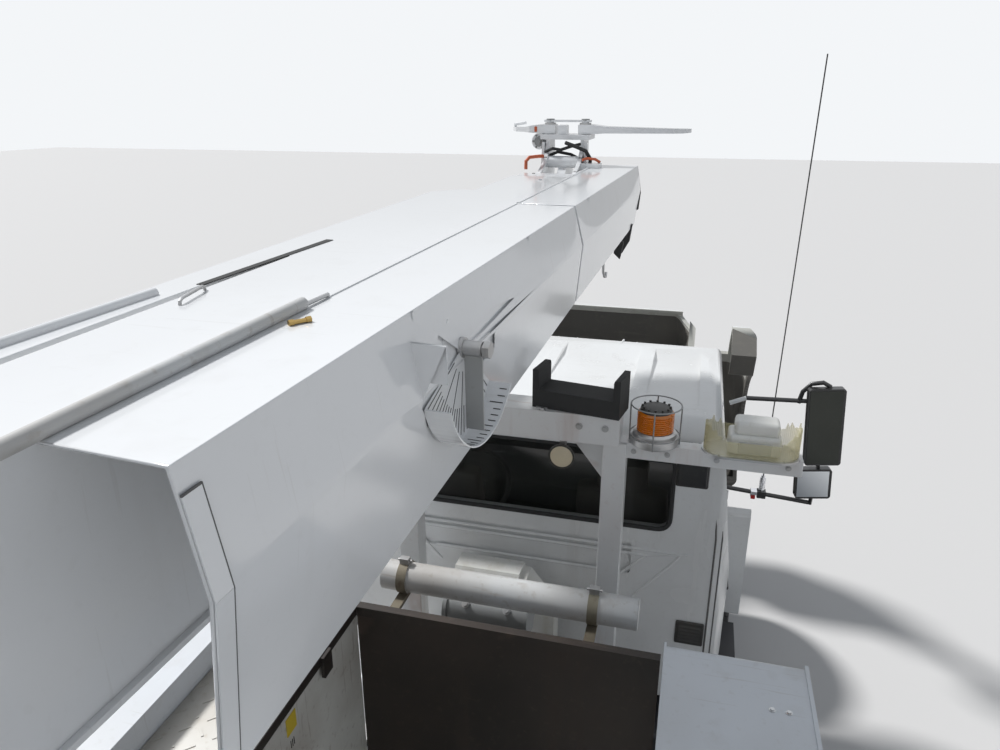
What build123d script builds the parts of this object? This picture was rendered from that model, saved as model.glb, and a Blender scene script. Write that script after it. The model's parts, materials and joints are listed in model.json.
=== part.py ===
from build123d import *
import math
import os

# A digger derrick truck, in millimetres and degrees.
# X is to the truck's right, Y forward, Z up from the ground. Y is measured from the rear axle
# while the pieces are modelled, and from the middle of the truck's length when they are written.

# Wheels and axles
WHEELBASE = 5330
TYRE_R = 520
TYRE_W = 290
BEAD_R = 286
FRONT_TRACK = 2080
REAR_TRACK = 1820
TWIN_GAP = 40
RIM_WALL = 14
KINGPIN_IN = 110
KINGPIN_X = FRONT_TRACK / 2 - KINGPIN_IN
KINGPIN_R = 22
FRONT_SPINDLE_R = 45
REAR_SPINDLE_R = 60
AXLE_DROP = 90
RUNNING = 0.05
SEAT = 0.3
MOVING_GAP = 6
VIEW_STEP = 1

# Frame
RAIL_HALF = 430
RAIL_Z = 700
RAIL_H = 260
RAIL_FLANGE = 90
RAIL_T = 10
FRAME_REAR = -2350
FRAME_AHEAD = 820
FRAME_FRONT = WHEELBASE + FRAME_AHEAD
SPRING_W = 76
SPRING_HALF = 650
SPRING_T = 45

# Cab and hood, set from the front axle
COWL_BACK = 200
FIREWALL_BACK = 370
CAB_BACK = 1780
GEARBOX_BACK = 1245
NOSE_AHEAD = 1000
CAB_REAR = WHEELBASE - CAB_BACK
CAB_COWL = WHEELBASE - COWL_BACK
CAB_FIREWALL = WHEELBASE - FIREWALL_BACK
GEARBOX_REAR = WHEELBASE - GEARBOX_BACK
CAB_HALF = 1040
CAB_FLOOR = 960
ROOF_Z = 2560
COWL_Z = 1880
CAB_WALL = 60
GLASS_T = 6
GLASS_DEPTH = 22
DOOR_BEHIND = 180
DOOR_LEN = 910
DOOR_REAR = CAB_REAR + DOOR_BEHIND
DOOR_FRONT = DOOR_REAR + DOOR_LEN
DOOR_Z = 1030
DOOR_TOP = 2430
WINDOW_Z = 1690
WINDOW_EDGE = 75
HINGE_OUT = 14
HINGE_R = 13
HINGE_H = 60
HINGE_BED = 24
CAB_HINGES_Z = (1240, 1620)
HOOD_WALL = 28
HOOD_NOSE = WHEELBASE + NOSE_AHEAD
HOOD_HALF = 790
HOOD_OPEN = 60
HOOD_HINGE_X = 385
HOOD_HINGE_IN = 50
HOOD_HINGE_Y = HOOD_NOSE - HOOD_HINGE_IN
HOOD_HINGE_Z = 820
HOOD_EAR_IN = 15
HOOD_EAR_OUT = 35
HOOD_PIN_R = 12
FENDER_HALF = 1225
ARCH_R = 610

# Rack and body behind the cab, set from the cab's rear wall
RACK_BEHIND = 300
BULKHEAD_BEHIND = 1020
BIN_BEHIND = 1070
TUBE_BEHIND = 800
FRONT_LEGS_BEHIND = 650
BODY_HALF = 1220
BIN_INNER = 763
BIN_TOP = 2200
BIN_WALL = 40
BIN_FRONT = CAB_REAR - BIN_BEHIND
BIN_REAR = -2330
BIN_LOW_FRONT = 560
BIN_LOW_REAR = 700
BIN_ARCH_HALF = 660
BIN_ARCH_Z = 1150
BIN_HINGE_OUT = 8
BIN_HINGE_R = 7
BIN_HINGE_BED = 12
DECK_Z = 1075
DECK_T = 30
TANK_INNER = 430
TANK_TOP = 2090
TANK_REAR = 700
BULKHEAD_Y = CAB_REAR - BULKHEAD_BEHIND
BULKHEAD_TOP = 2100

# Rack, lamps and tube behind the cab
RACK_Y = CAB_REAR - RACK_BEHIND
POST_HALF = 480
POST_W = 100
BEAM_TOP = 2720
BEAM_H = 130
BEAM_HALF = 500
ARM_TOP = 2595
ARM_H = 72
ARM_END = 1235
SADDLE_BASE = 80
SADDLE_RISE = 90
SADDLE_DEPTH = 150
SADDLE_CHEEK = 29
SADDLE_SIDE_GAP = 20
BEACON_X = 640
BEACON_R = 78
LIGHT_BAR_X = 1030
TUBE_R = 62
TUBE_Y = CAB_REAR - TUBE_BEHIND
TUBE_Z = 2090
TUBE_LEFT = -400
TUBE_RIGHT = 648

# Derrick
TURNTABLE_X = -471
TURNTABLE_Y = -1500
TURNTABLE_Z = 2260
PEDESTAL_HALF = 200
BEARING_R = 320
SPIGOT_R = 150
BOOM_YAW = 4.85
BOOM_PITCH = 2.2
STOW_BEARING = 9.45
PIVOT_BACK = 250
PIVOT_Z = 3050
PIVOT_R = 45
BOOM_HALF = 143
BOOM_TOP = 350
BOOM_BOTTOM = -140
BOOM_WALL = 10
BOOM_TAIL = -350
BOOM_END = 5700
PAD_T = 10
CHEEK_T = 30
CHEEK_GAP = 12
CYLINDER_FOOT = (150, -600)
CYLINDER_EYE = (1500, -350)
BARREL_R = 70
ROD_R = 38
EYE_R = 48
EYE_HALF = 42
TRUNNION_R = 30
SHROUD_W = 230
SHROUD_T = 6
SHROUD_REAR = 2830
SHROUD_GAP_Y = 4910
SHROUD_GAP = 20
SHROUD_TIP = 6240
TRAY_W = 164
TRAY_END = 5200
TRAY_START = 900
TRAY_H = 100
AUGER_R = 229
AUGER_TUBE_R = 38
AUGER_START = 2300
AUGER_END = 4700
AUGER_PITCH = 300
AUGER_SIDE_GAP = 35
AUGER_Z = -10
FLIGHT_T = 12

# Outriggers
OUTRIGGER_ROWS = (("rear", -1900), ("front", CAB_REAR - FRONT_LEGS_BEHIND))
OUTRIGGER_X = 545
OUTRIGGER_TOP = 950
OUTRIGGER_LEAN = 25
HOUSING_HALF = 85
HOUSING_T = 12
HOUSING_LEN = 600
COLLAR_H = 60
LEG_STICKOUT = 90
FOOT_HALF = 150
FOOT_T = 24

# Reach of the open hood and of the towing hook, which set the middle of the length
NOSE_REACH = WHEELBASE + 1569
TAIL_REACH = 2612
MIDDLE_Y = (NOSE_REACH - TAIL_REACH) / 2

parts = {}


def block(x0, x1, y0, y1, z0, z1):
    size = Box(x1 - x0, y1 - y0, z1 - z0)
    return Pos((x0 + x1) / 2, (y0 + y1) / 2, (z0 + z1) / 2) * size


def rod(start, end, radius):
    axis = Vector(*end) - Vector(*start)
    place = Plane(origin=start, z_dir=axis)
    return extrude(place * Circle(radius), amount=axis.length)


def outline(points):
    # Each point is (u, v) or (u, v, corner radius).
    face = make_face(Polyline(*[p[:2] for p in points], close=True)).faces()[0]
    for p in points:
        if len(p) > 2:
            corner = sorted(face.vertices(), key=lambda v: math.hypot(v.X - p[0], v.Y - p[1]))[0]
            face = face.fillet_2d(p[2], [corner])
    return face


def side_slab(face, x0, x1):
    # A side view, drawn as (y, z), run across the truck from x0 to x1.
    return extrude(Plane.YZ.offset(x0) * face, amount=x1 - x0)


def front_slab(face, y0, y1):
    # A front view, drawn as (x, z), run along the truck from y0 to y1.
    return extrude(Plane(origin=(0, y0, 0), x_dir=(1, 0, 0), z_dir=(0, -1, 0)) * face, amount=y0 - y1)


def plan_slab(face, z0, z1):
    # A plan view, drawn as (x, y), run up from z0 to z1.
    return extrude(Plane.XY.offset(z0) * face, amount=z1 - z0)


def inset(face, amount):
    return offset(face, amount=-amount, kind=Kind.INTERSECTION) if amount else face


def three_views(side, plan, front, depth, reach):
    # The body that a side view, a plan and a front view share. Each view is set in by a little
    # more than the last, so that no two edges fall together. reach is (x0, x1, y0, y1, z0, z1).
    x0, x1, y0, y1, z0, z1 = reach
    step = VIEW_STEP if depth else 0
    form = side_slab(inset(side, depth), x0, x1)
    form &= plan_slab(inset(plan, depth + step), z0, z1)
    form &= front_slab(inset(front, depth + 2 * step), y0, y1)
    return form


def spun(face_points, x_middle):
    # A wheel section, drawn as (x, radius), turned about the axle line.
    face = make_face(Polyline(*face_points, close=True))
    solid = revolve(Plane.XY * face, axis=Axis.X)
    return Pos(x_middle, 0, 0) * solid


def mirrored(shape):
    return mirror(shape, about=Plane.YZ)


def pin_hinge(x, y, z, barrel_r, bed):
    # An upright hinge on the right side: the fixed barrel, and the two tabs and the pin that turn.
    # The fixed leaf lies in front of the pin and the turning one behind it, both let in by bed.
    third = HINGE_H / 3
    pin_r = barrel_r * 0.45
    low, high = z + third, z + 2 * third
    fixed = rod((x, y, low), (x, y, high), barrel_r)
    fixed += block(x - bed, x, y + 1, y + barrel_r * 0.9, low, high)
    fixed -= rod((x, y, low - 1), (x, y, high + 1), pin_r + RUNNING)
    moving = rod((x, y, z), (x, y, z + HINGE_H), pin_r)
    for z0, z1 in ((z, low - SEAT), (high + SEAT, z + HINGE_H)):
        moving += rod((x, y, z0), (x, y, z1), barrel_r)
        moving += block(x - bed, x, y - 3 * barrel_r, y, z0, z1)
    return fixed, moving


def add(name, shape):
    parts[name] = shape


# Frame rails, cross members and outrigger housings
def outrigger_place(row_y):
    return Pos(OUTRIGGER_X, row_y, OUTRIGGER_TOP) * Rot(0, -OUTRIGGER_LEAN, 0)


def make_frame():
    inner = RAIL_HALF - RAIL_T
    lip = RAIL_HALF - RAIL_FLANGE
    top = RAIL_Z + RAIL_H
    channel = outline([
        (RAIL_HALF, RAIL_Z), (RAIL_HALF, top), (lip, top), (lip, top - RAIL_T),
        (inner, top - RAIL_T), (inner, RAIL_Z + RAIL_T), (lip, RAIL_Z + RAIL_T), (lip, RAIL_Z),
    ])
    rail = front_slab(channel, FRAME_REAR, FRAME_FRONT)
    frame = rail + mirrored(rail)
    for y in (FRAME_REAR + 60, -1500, -650, 650, 1700, OUTRIGGER_ROWS[1][1], CAB_REAR + 350, FRAME_FRONT - 210):
        frame += block(-inner, inner, y - 45, y + 45, RAIL_Z + 40, top)
        frame -= block(-inner, inner, y - 35, y + 35, RAIL_Z, top - 70)
    for _, y in OUTRIGGER_ROWS:
        place = outrigger_place(y)
        wide = 2 * HOUSING_HALF
        hollow = wide - 2 * HOUSING_T
        shell = place * Pos(0, 0, -HOUSING_LEN / 2) * Box(wide, wide, HOUSING_LEN)
        bracket = block(RAIL_HALF - 1, OUTRIGGER_X, y - HOUSING_HALF, y + HOUSING_HALF, RAIL_Z + 20, top - 20)
        bore = place * Pos(0, 0, -HOUSING_LEN / 2) * Box(hollow, hollow, HOUSING_LEN * 2)
        # The leg slides in a collar at the housing's lower end.
        guide = hollow - 2 * (MOVING_GAP - SEAT)
        collar = place * Pos(0, 0, COLLAR_H / 2 - HOUSING_LEN) * (
            Box(hollow + 2, hollow + 2, COLLAR_H) - Box(guide, guide, COLLAR_H + 2))
        housing = shell + bracket - bore + collar
        frame += housing
        frame += mirrored(housing)
    return frame


def make_leg(row_y):
    place = outrigger_place(row_y)
    half = HOUSING_HALF - HOUSING_T - MOVING_GAP
    start = 40
    end = HOUSING_LEN + LEG_STICKOUT
    leg = place * Pos(0, 0, -(start + end) / 2) * Box(2 * half, 2 * half, end - start)
    ankle = place * Pos(0, 0, -end)
    x, y, z = ankle.position
    ball = Pos(x, y, z) * Sphere(half)
    foot = block(x - FOOT_HALF, x + FOOT_HALF, y - FOOT_HALF, y + FOOT_HALF, z - half - FOOT_T, z - half + 6)
    foot = fillet(foot.edges().filter_by(Axis.Z), 30)
    web = block(x - half, x + half, y - 12, y + 12, z - half, z)
    return leg + ball + web + foot


def foot_bottom():
    end = HOUSING_LEN + LEG_STICKOUT
    half = HOUSING_HALF - HOUSING_T - MOVING_GAP
    return OUTRIGGER_TOP - end * math.cos(math.radians(OUTRIGGER_LEAN)) - half - FOOT_T


LEG_STROKE = (foot_bottom() - 2) / math.cos(math.radians(OUTRIGGER_LEAN))


# Axles, springs, knuckles and wheels
def make_spring(axle_y, seat_z, side_x):
    top = RAIL_Z
    sag = seat_z
    low = ThreePointArc((axle_y - SPRING_HALF, top - SPRING_T - 20), (axle_y, sag),
                        (axle_y + SPRING_HALF, top - SPRING_T - 20))
    high = ThreePointArc((axle_y + SPRING_HALF, top - 20), (axle_y, sag + SPRING_T),
                         (axle_y - SPRING_HALF, top - 20))
    face = make_face([low, Line(low @ 1, high @ 0), high, Line(high @ 1, low @ 0)])
    spring = side_slab(face, side_x - SPRING_W / 2, side_x + SPRING_W / 2)
    for y in (axle_y - SPRING_HALF, axle_y + SPRING_HALF):
        spring += block(side_x - SPRING_W / 2, side_x + SPRING_W / 2, y - 55, y + 55, top - 75, top)
    return spring


def make_front_axle():
    high = TYRE_R + 45
    low = TYRE_R - 45
    drop = AXLE_DROP
    reach = KINGPIN_X - 45
    shoulder = KINGPIN_X - 310
    right = [(reach, high), (shoulder, high), (shoulder - 90, high - drop)]
    right_low = [(shoulder - 70, low - drop), (shoulder + 20, low), (reach, low)]
    points = right_low + right + [(-x, z) for x, z in reversed(right)] + [(-x, z) for x, z in reversed(right_low)]
    beam_face = outline(points)
    beam = front_slab(beam_face, WHEELBASE - 55, WHEELBASE + 55)
    groove = inset(beam_face, 18)
    beam -= front_slab(groove, WHEELBASE - 56, WHEELBASE - 20)
    beam -= front_slab(groove, WHEELBASE + 20, WHEELBASE + 56)
    spring_x = RAIL_HALF - RAIL_FLANGE / 2
    seat = high - drop
    for side in (-1, 1):
        x = side * KINGPIN_X
        beam += rod((x, WHEELBASE, low - 5), (x, WHEELBASE, high + 5), 58)
        beam -= rod((x, WHEELBASE, low - 50), (x, WHEELBASE, high + 50), KINGPIN_R + RUNNING)
        sx = side * spring_x
        beam += make_spring(WHEELBASE, seat + 35, sx)
        beam += block(sx - SPRING_W / 2, sx + SPRING_W / 2, WHEELBASE - 60, WHEELBASE + 60, seat - 40, seat + 45)
    return beam


def make_knuckle():
    # The right knuckle, with its kingpin and the spindle that carries the wheel.
    high = TYRE_R + 50 + 1
    low = TYRE_R - 50 - 1
    ear = 34
    x, y = KINGPIN_X, WHEELBASE
    fork = rod((x, y, high), (x, y, high + ear), 52) + rod((x, y, low - ear), (x, y, low), 52)
    fork += block(x, x + 52, y - 45, y + 45, high, high + ear)
    fork += block(x, x + 52, y - 45, y + 45, low - ear, low)
    web_x = x + 58 + MOVING_GAP
    fork += block(x + 40, web_x + 16, y - 45, y + 45, high, high + ear)
    fork += block(x + 40, web_x + 16, y - 45, y + 45, low - ear, low)
    fork += block(web_x, web_x + 16, y - 60, y + 60, low - ear, high + ear)
    fork += rod((x, y, low - ear), (x, y, high + ear), KINGPIN_R)
    fork += rod((web_x + 8, y, TYRE_R), (web_x + 16, y, TYRE_R), 190)
    fork += rod((web_x + 8, y, TYRE_R), (FRONT_TRACK / 2 + 95, y, TYRE_R), FRONT_SPINDLE_R)
    arm = plan_slab(outline([(x - 20, y - 20), (x + 30, y - 30), (x - 40, y - 190), (x - 90, y - 180)]),
                    low - ear, low - 6)
    return fork + arm


def tyre_section():
    half = TYRE_W / 2
    return [
        (-half + 30, BEAD_R), (-half + 6, BEAD_R + 40), (-half, BEAD_R + 120), (-half + 6, TYRE_R - 45),
        (-half + 24, TYRE_R - 12), (-half + 48, TYRE_R), (half - 48, TYRE_R), (half - 24, TYRE_R - 12),
        (half - 6, TYRE_R - 45), (half, BEAD_R + 120), (half - 6, BEAD_R + 40), (half - 30, BEAD_R),
    ]


def rim_section(dish, face_x, bore_r):
    # The barrel, then the disc that leans out from the barrel's middle to the hub face at face_x.
    half = TYRE_W / 2 - 25
    inner = BEAD_R - RIM_WALL
    lean = half * 0.55 * dish
    plate = 12
    return [
        (-half, BEAD_R + 12), (-half, inner - 4), (lean - plate, inner), (face_x - plate, 165),
        (face_x - plate, bore_r), (face_x + plate, bore_r), (face_x + plate, 165),
        (lean + plate * 1.5, inner), (half, inner - 4), (half, BEAD_R + 12), (half - 12, BEAD_R + 12),
        (half - 16, BEAD_R), (-half + 16, BEAD_R), (-half + 12, BEAD_R + 12),
    ]


def hub(x0, x1, outer_r, bore_r, bore_x1):
    body = rod((x0, 0, 0), (x1, 0, 0), outer_r)
    return body - rod((x0 - 1, 0, 0), (bore_x1, 0, 0), bore_r)


def place_wheel(wheel, y):
    return Pos(0, y, TYRE_R) * wheel


def make_front_wheel():
    middle = FRONT_TRACK / 2
    wheel = spun(tyre_section(), middle) + spun(rim_section(0.5, 70, 60), middle)
    wheel += hub(middle - 15, middle + 130, 88, FRONT_SPINDLE_R + RUNNING, middle + 110)
    return place_wheel(wheel, WHEELBASE)


def make_twin_wheel():
    middle = REAR_TRACK / 2
    apart = (TYRE_W + TWIN_GAP) / 2
    outer = spun(tyre_section(), middle + apart) + spun(rim_section(-0.3, -apart + 12, 80), middle + apart)
    inner_disc = mirrored(spun(rim_section(-0.3, -apart + 12, 80), 0))
    inner = spun(tyre_section(), middle - apart) + Pos(middle - apart, 0, 0) * inner_disc
    wheel = outer + inner
    wheel += hub(middle - 130, middle + 175, 110, REAR_SPINDLE_R + RUNNING, middle + 155)
    return place_wheel(wheel, 0)


def make_rear_axle():
    reach = REAR_TRACK / 2 + 150
    shoulder = REAR_TRACK / 2 - 140
    z = TYRE_R
    axle = rod((-reach, 0, z), (reach, 0, z), REAR_SPINDLE_R)
    axle += rod((-shoulder, 0, z), (shoulder, 0, z), 78)
    case = outline([(-190, 0), (-150, 120), (-80, 205), (80, 205), (150, 120), (190, 0)])
    axle += Pos(0, 0, z) * revolve(Plane.XY * case, axis=Axis.X)
    axle += rod((0, 180, z + 10), (0, 330, z + 25), 95)
    axle += rod((0, 320, z + 25), (0, GEARBOX_REAR - SEAT - 2, z + 130), 48)
    spring_x = RAIL_HALF - RAIL_FLANGE / 2
    for side in (-1, 1):
        sx = side * spring_x
        axle += make_spring(0, z + 85, sx)
        axle += block(sx - SPRING_W / 2, sx + SPRING_W / 2, -65, 65, z, z + 95)
    return axle


def make_engine():
    # One plain block for the engine with its gearbox, and one for the radiator.
    rear = CAB_FIREWALL + 25
    front = FRAME_FRONT - 300
    engine = block(-290, 290, rear, front, RAIL_Z - 60, 1420)
    engine += block(-180, 180, GEARBOX_REAR, rear, RAIL_Z - 90, RAIL_Z + RAIL_H - 20)
    for y in (rear + 165, front - 140):
        engine += block(-400, 400, y - 40, y + 40, RAIL_Z + RAIL_H + SEAT, RAIL_Z + RAIL_H + 50)
    y = FRAME_FRONT - 210
    radiator = block(-380, 380, y - 40, y + 40, RAIL_Z + RAIL_H, 1510)
    radiator -= block(-350, 350, y + 30, y + 41, RAIL_Z + RAIL_H + 40, 1480)
    return engine, radiator


def hinge_ear():
    y, z = HOOD_HINGE_Y, HOOD_HINGE_Z
    return outline([(y - 60, z - 90), (y - 60, z - 30), (y - 22, z + 22, 20), (y + 22, z + 22, 20), (y + 10, z - 90)])


def make_bumper():
    back = HOOD_NOSE + 20
    half = FENDER_HALF - 40
    plan = outline([
        (-half, back - 150), (-half, back - 60, 60), (-half + 190, back + 95, 60), (half - 190, back + 95, 60),
        (half, back - 60, 60), (half, back - 150), (half - 12, back - 150), (half - 12, back - 66, 50),
        (half - 196, back + 83, 50), (-half + 196, back + 83, 50), (-half + 12, back - 66, 50), (-half + 12, back - 150),
    ])
    bumper = plan_slab(plan, 470, 735)
    for side in (-1, 1):
        x = side * HOOD_HINGE_X
        bumper += block(x - HOOD_EAR_OUT, x + HOOD_EAR_OUT, FRAME_FRONT, back + 90, 640, 725)
        bumper += block(x - HOOD_EAR_OUT, x + HOOD_EAR_OUT, FRAME_FRONT, HOOD_HINGE_Y + 10, 640, 738)
        for ear_x in (x - HOOD_EAR_OUT, x + HOOD_EAR_IN):
            bumper += side_slab(hinge_ear(), ear_x, ear_x + HOOD_EAR_OUT - HOOD_EAR_IN)
        bumper -= rod((x - 60, HOOD_HINGE_Y, HOOD_HINGE_Z), (x + 60, HOOD_HINGE_Y, HOOD_HINGE_Z), HOOD_PIN_R + RUNNING)
    return bumper


# Cab
def cab_side():
    return outline([
        (CAB_REAR, CAB_FLOOR, 60), (CAB_REAR, ROOF_Z, 130), (CAB_REAR + 870, ROOF_Z + 30), (CAB_COWL - 250, ROOF_Z - 20, 150),
        (CAB_COWL, COWL_Z), (CAB_COWL, COWL_Z - 170), (CAB_FIREWALL, COWL_Z - 270),
        (CAB_FIREWALL, 1160), (DOOR_FRONT + 50, CAB_FLOOR),
    ])


def cab_front():
    half = CAB_HALF
    right = [(half - 25, CAB_FLOOR, 50), (half, 1300), (half, 1750), (half - 105, ROOF_Z + 40, 150)]
    left = [(-p[0],) + p[1:] for p in reversed(right)]
    return outline(right + left)


def cab_plan():
    half = CAB_HALF
    return outline([
        (-half, CAB_REAR, 110), (half, CAB_REAR, 110), (half, DOOR_FRONT + 50), (half - 130, CAB_COWL, 80),
        (-half + 130, CAB_COWL, 80), (-half, DOOR_FRONT + 50),
    ])


def cab_form(depth):
    reach = (-1200, 1200, CAB_REAR - 50, CAB_COWL + 50, CAB_FLOOR - 50, ROOF_Z + 100)
    return three_views(cab_side(), cab_plan(), cab_front(), depth, reach)


def door_face(gap):
    face = outline([
        (DOOR_REAR, DOOR_Z, 60), (DOOR_REAR, DOOR_TOP, 70), (DOOR_FRONT - 30, DOOR_TOP, 90),
        (DOOR_FRONT, 1900), (DOOR_FRONT, DOOR_Z, 60),
    ])
    return inset(face, gap)


def window_face(gap):
    face = outline([
        (DOOR_REAR + WINDOW_EDGE, WINDOW_Z, 50), (DOOR_REAR + WINDOW_EDGE, DOOR_TOP - WINDOW_EDGE, 60),
        (DOOR_FRONT - WINDOW_EDGE - 30, DOOR_TOP - WINDOW_EDGE, 70), (DOOR_FRONT - WINDOW_EDGE, WINDOW_Z, 50),
    ])
    return inset(face, gap)


def windscreen_face(gap):
    return inset(outline([
        (-850, COWL_Z + 90, 70), (-770, ROOF_Z - 130, 80), (770, ROOF_Z - 130, 80), (850, COWL_Z + 90, 70),
    ]), gap)


def rear_window_face(gap):
    return inset(outline([
        (-740, 1990, 70), (-740, 2400, 70), (740, 2400, 70), (740, 1990, 70),
    ]), gap)


def make_cab():
    shell = cab_form(0) - cab_form(CAB_WALL)
    skin = shell
    glass_skin = cab_form(GLASS_DEPTH) - cab_form(GLASS_DEPTH + GLASS_T)
    shell -= side_slab(door_face(0), -1300, -700) + side_slab(door_face(0), 700, 1300)
    shell -= front_slab(windscreen_face(0), CAB_FIREWALL - 260, CAB_COWL + 50)
    shell -= front_slab(rear_window_face(0), CAB_REAR - 50, CAB_REAR + 200)
    # The recessed panel and the swages on the rear wall, and the shallow panels in the roof
    shell -= front_slab(outline([(-560, 1720, 20), (-560, 1900, 20), (560, 1900, 20), (560, 1720, 20)]),
                        CAB_REAR - 20, CAB_REAR + 12)
    for x0, x1 in ((-820, -560), (-480, -30), (30, 480), (560, 820)):
        shell -= block(x0, x1, CAB_REAR + 230, DOOR_FRONT + 60, ROOF_Z + 6, ROOF_Z + 60)
    y = DOOR_FRONT + 22
    fairing = side_slab(outline([
        (y, 760, 20), (y, 1500, 20), (y + 50, 1560, 15), (y + 64, 1400), (y + 50, 760, 20),
    ]), CAB_HALF - 40, FENDER_HALF - 5)
    hollow = side_slab(outline([
        (y + 18, 790), (y + 18, 1480), (y + 38, 1500), (y + 44, 1400), (y + 34, 790),
    ]), CAB_HALF - 60, FENDER_HALF - 30)
    fairing -= hollow
    fairing -= cab_form(GLASS_DEPTH + GLASS_T)
    arch = rod((600, WHEELBASE, TYRE_R), (1400, WHEELBASE, TYRE_R), ARCH_R)
    fairing -= arch
    glass = glass_skin & front_slab(windscreen_face(SEAT), CAB_FIREWALL - 260, CAB_COWL + 50)
    rear_glass = glass_skin & front_slab(rear_window_face(SEAT), CAB_REAR - 50, CAB_REAR + 200)
    doors = skin & side_slab(door_face(MOVING_GAP), 700, 1300)
    doors -= side_slab(window_face(0), 700, 1300)
    door_glass = glass_skin & side_slab(window_face(SEAT), 700, 1300)
    for z in CAB_HINGES_Z:
        fixed, moving = pin_hinge(CAB_HALF + HINGE_OUT, DOOR_FRONT, z, HINGE_R, HINGE_BED)
        fairing += fixed
        doors += moving
    shell = shell + fairing + mirrored(fairing)
    return shell, glass + rear_glass, doors, door_glass


def make_mirror():
    # The right mirror arms and heads, on the door's front edge.
    root = CAB_HALF - 30
    y = DOOR_FRONT - 60
    upper = rod((root, y, 2290), (root + 90, y, 2330), 13)
    upper += rod((root + 90, y, 2330), (1560, y, 2350), 13) + Pos(1560, y, 2350) * Sphere(13)
    upper += Pos(root + 90, y, 2330) * Sphere(13)
    lower = rod((root - 10, y, 1740), (1520, y, 1700), 13)
    back = rod((1560, y, 2350), (1530, y, 1690), 11)
    big = Pos(1535, y - 30, 2210) * Rot(0, -4, 8) * Box(200, 48, 470)
    big = fillet(big.edges().filter_by(lambda e: e.length < 60), 18)
    small = Pos(1520, y - 30, 1850) * Rot(0, -4, 8) * Box(200, 48, 190)
    small = fillet(small.edges().filter_by(lambda e: e.length < 60), 18)
    return upper + lower + back + big + small


def make_antenna():
    x, y = 1250, DOOR_FRONT - 60
    base = block(x - 25, x + 25, y - 25, y + 25, 1700, 1742)
    spring = rod((x, y, 1742), (x, y, 1830), 16)
    whip = rod((x, y, 1830), (x + 40, y + 60, 4180), 3.5)
    return base + spring + whip


def make_interior():
    seats = []
    floor = CAB_FLOOR + CAB_WALL + 2 * VIEW_STEP + SEAT
    back_y = CAB_REAR + 280
    for x in (-520, 480):
        base = block(x - 200, x + 200, back_y + 70, back_y + 470, floor, floor + 240)
        cushion = fillet(block(x - 250, x + 250, back_y + 30, back_y + 550, floor + 240, floor + 390).edges(), 40)
        back = Pos(x, back_y, floor + 700) * Rot(10, 0, 0) * fillet(Box(480, 130, 760).edges(), 40)
        head = Pos(x, back_y - 75, floor + 1150) * Rot(10, 0, 0) * fillet(Box(260, 100, 170).edges(), 35)
        post = rod((x, back_y - 65, floor + 1000), (x, back_y - 70, floor + 1100), 25)
        seats.append(base + cushion + back + post + head)
    front = CAB_FIREWALL - CAB_WALL
    dash = side_slab(outline([
        (front - SEAT, 1500), (front - SEAT, 1700, 30), (front - 160, 1720, 60), (front - 330, 1620, 50),
        (front - 300, 1430, 40), (front - 120, 1380),
    ]), -880, 880)
    dash += rod((-520, front - 200, 1500), (-520, front - 420, 1610), 32)
    wheel_place = Plane(origin=(-520, front - 420, 1610), z_dir=(0, -0.9, 0.45))
    wheel = wheel_place * Torus(215, 16)
    spokes = Part()
    for angle in (0, 120, 240):
        spokes += wheel_place * Rot(0, 0, angle) * Pos(107, 0, 0) * Box(215, 34, 14)
    dash += wheel + spokes
    return seats[0], seats[1], dash


# Hood, with its fenders and grille. It is drawn closed and then swung open about its hinge.
def hood_side():
    return outline([
        (CAB_COWL + 25, 1150), (CAB_COWL + 25, COWL_Z + 5, 60), (CAB_COWL + 520, COWL_Z - 90), (HOOD_NOSE - 130, 1590, 150),
        (HOOD_NOSE, 1330, 90), (HOOD_NOSE, 800), (CAB_COWL + 25, 800),
    ])


def hood_plan():
    half = HOOD_HALF
    return outline([
        (-half, CAB_COWL + 25), (-half + 210, HOOD_NOSE, 130), (half - 210, HOOD_NOSE, 130), (half, CAB_COWL + 25),
    ])


def hood_front():
    half = HOOD_HALF
    return outline([
        (-half, 800), (-half, 1640, 60), (-half + 160, COWL_Z + 10, 160), (half - 160, COWL_Z + 10, 160),
        (half, 1640, 60), (half, 800),
    ])


def hood_form(depth):
    return three_views(hood_side(), hood_plan(), hood_front(), depth,
                       (-1000, 1000, CAB_COWL - 130, HOOD_NOSE + 170, 700, 2000))


def fender_form(depth):
    rear = DOOR_FRONT + 105
    side = outline([
        (rear, 1000), (rear + 15, 1330, 70), (WHEELBASE - 180, 1430), (WHEELBASE + 370, 1400, 120),
        (HOOD_NOSE - 80, 1230, 140), (HOOD_NOSE - 10, 900), (HOOD_NOSE - 20, 760, 40), (HOOD_NOSE - 430, 760),
        (HOOD_NOSE - 430, 1000),
    ])
    plan = outline([
        (500, rear - 45), (500, HOOD_NOSE - 5), (FENDER_HALF - 250, HOOD_NOSE - 5, 140),
        (FENDER_HALF, HOOD_NOSE - 260, 160), (FENDER_HALF, rear - 45),
    ])
    front = outline([
        (500, 600), (500, 1400), (FENDER_HALF - 110, 1400, 130), (FENDER_HALF, 1220, 120), (FENDER_HALF, 600),
    ])
    return three_views(side, plan, front, depth,
                       (480, FENDER_HALF + 20, rear - 145, HOOD_NOSE + 170, 500, 1700))


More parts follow.
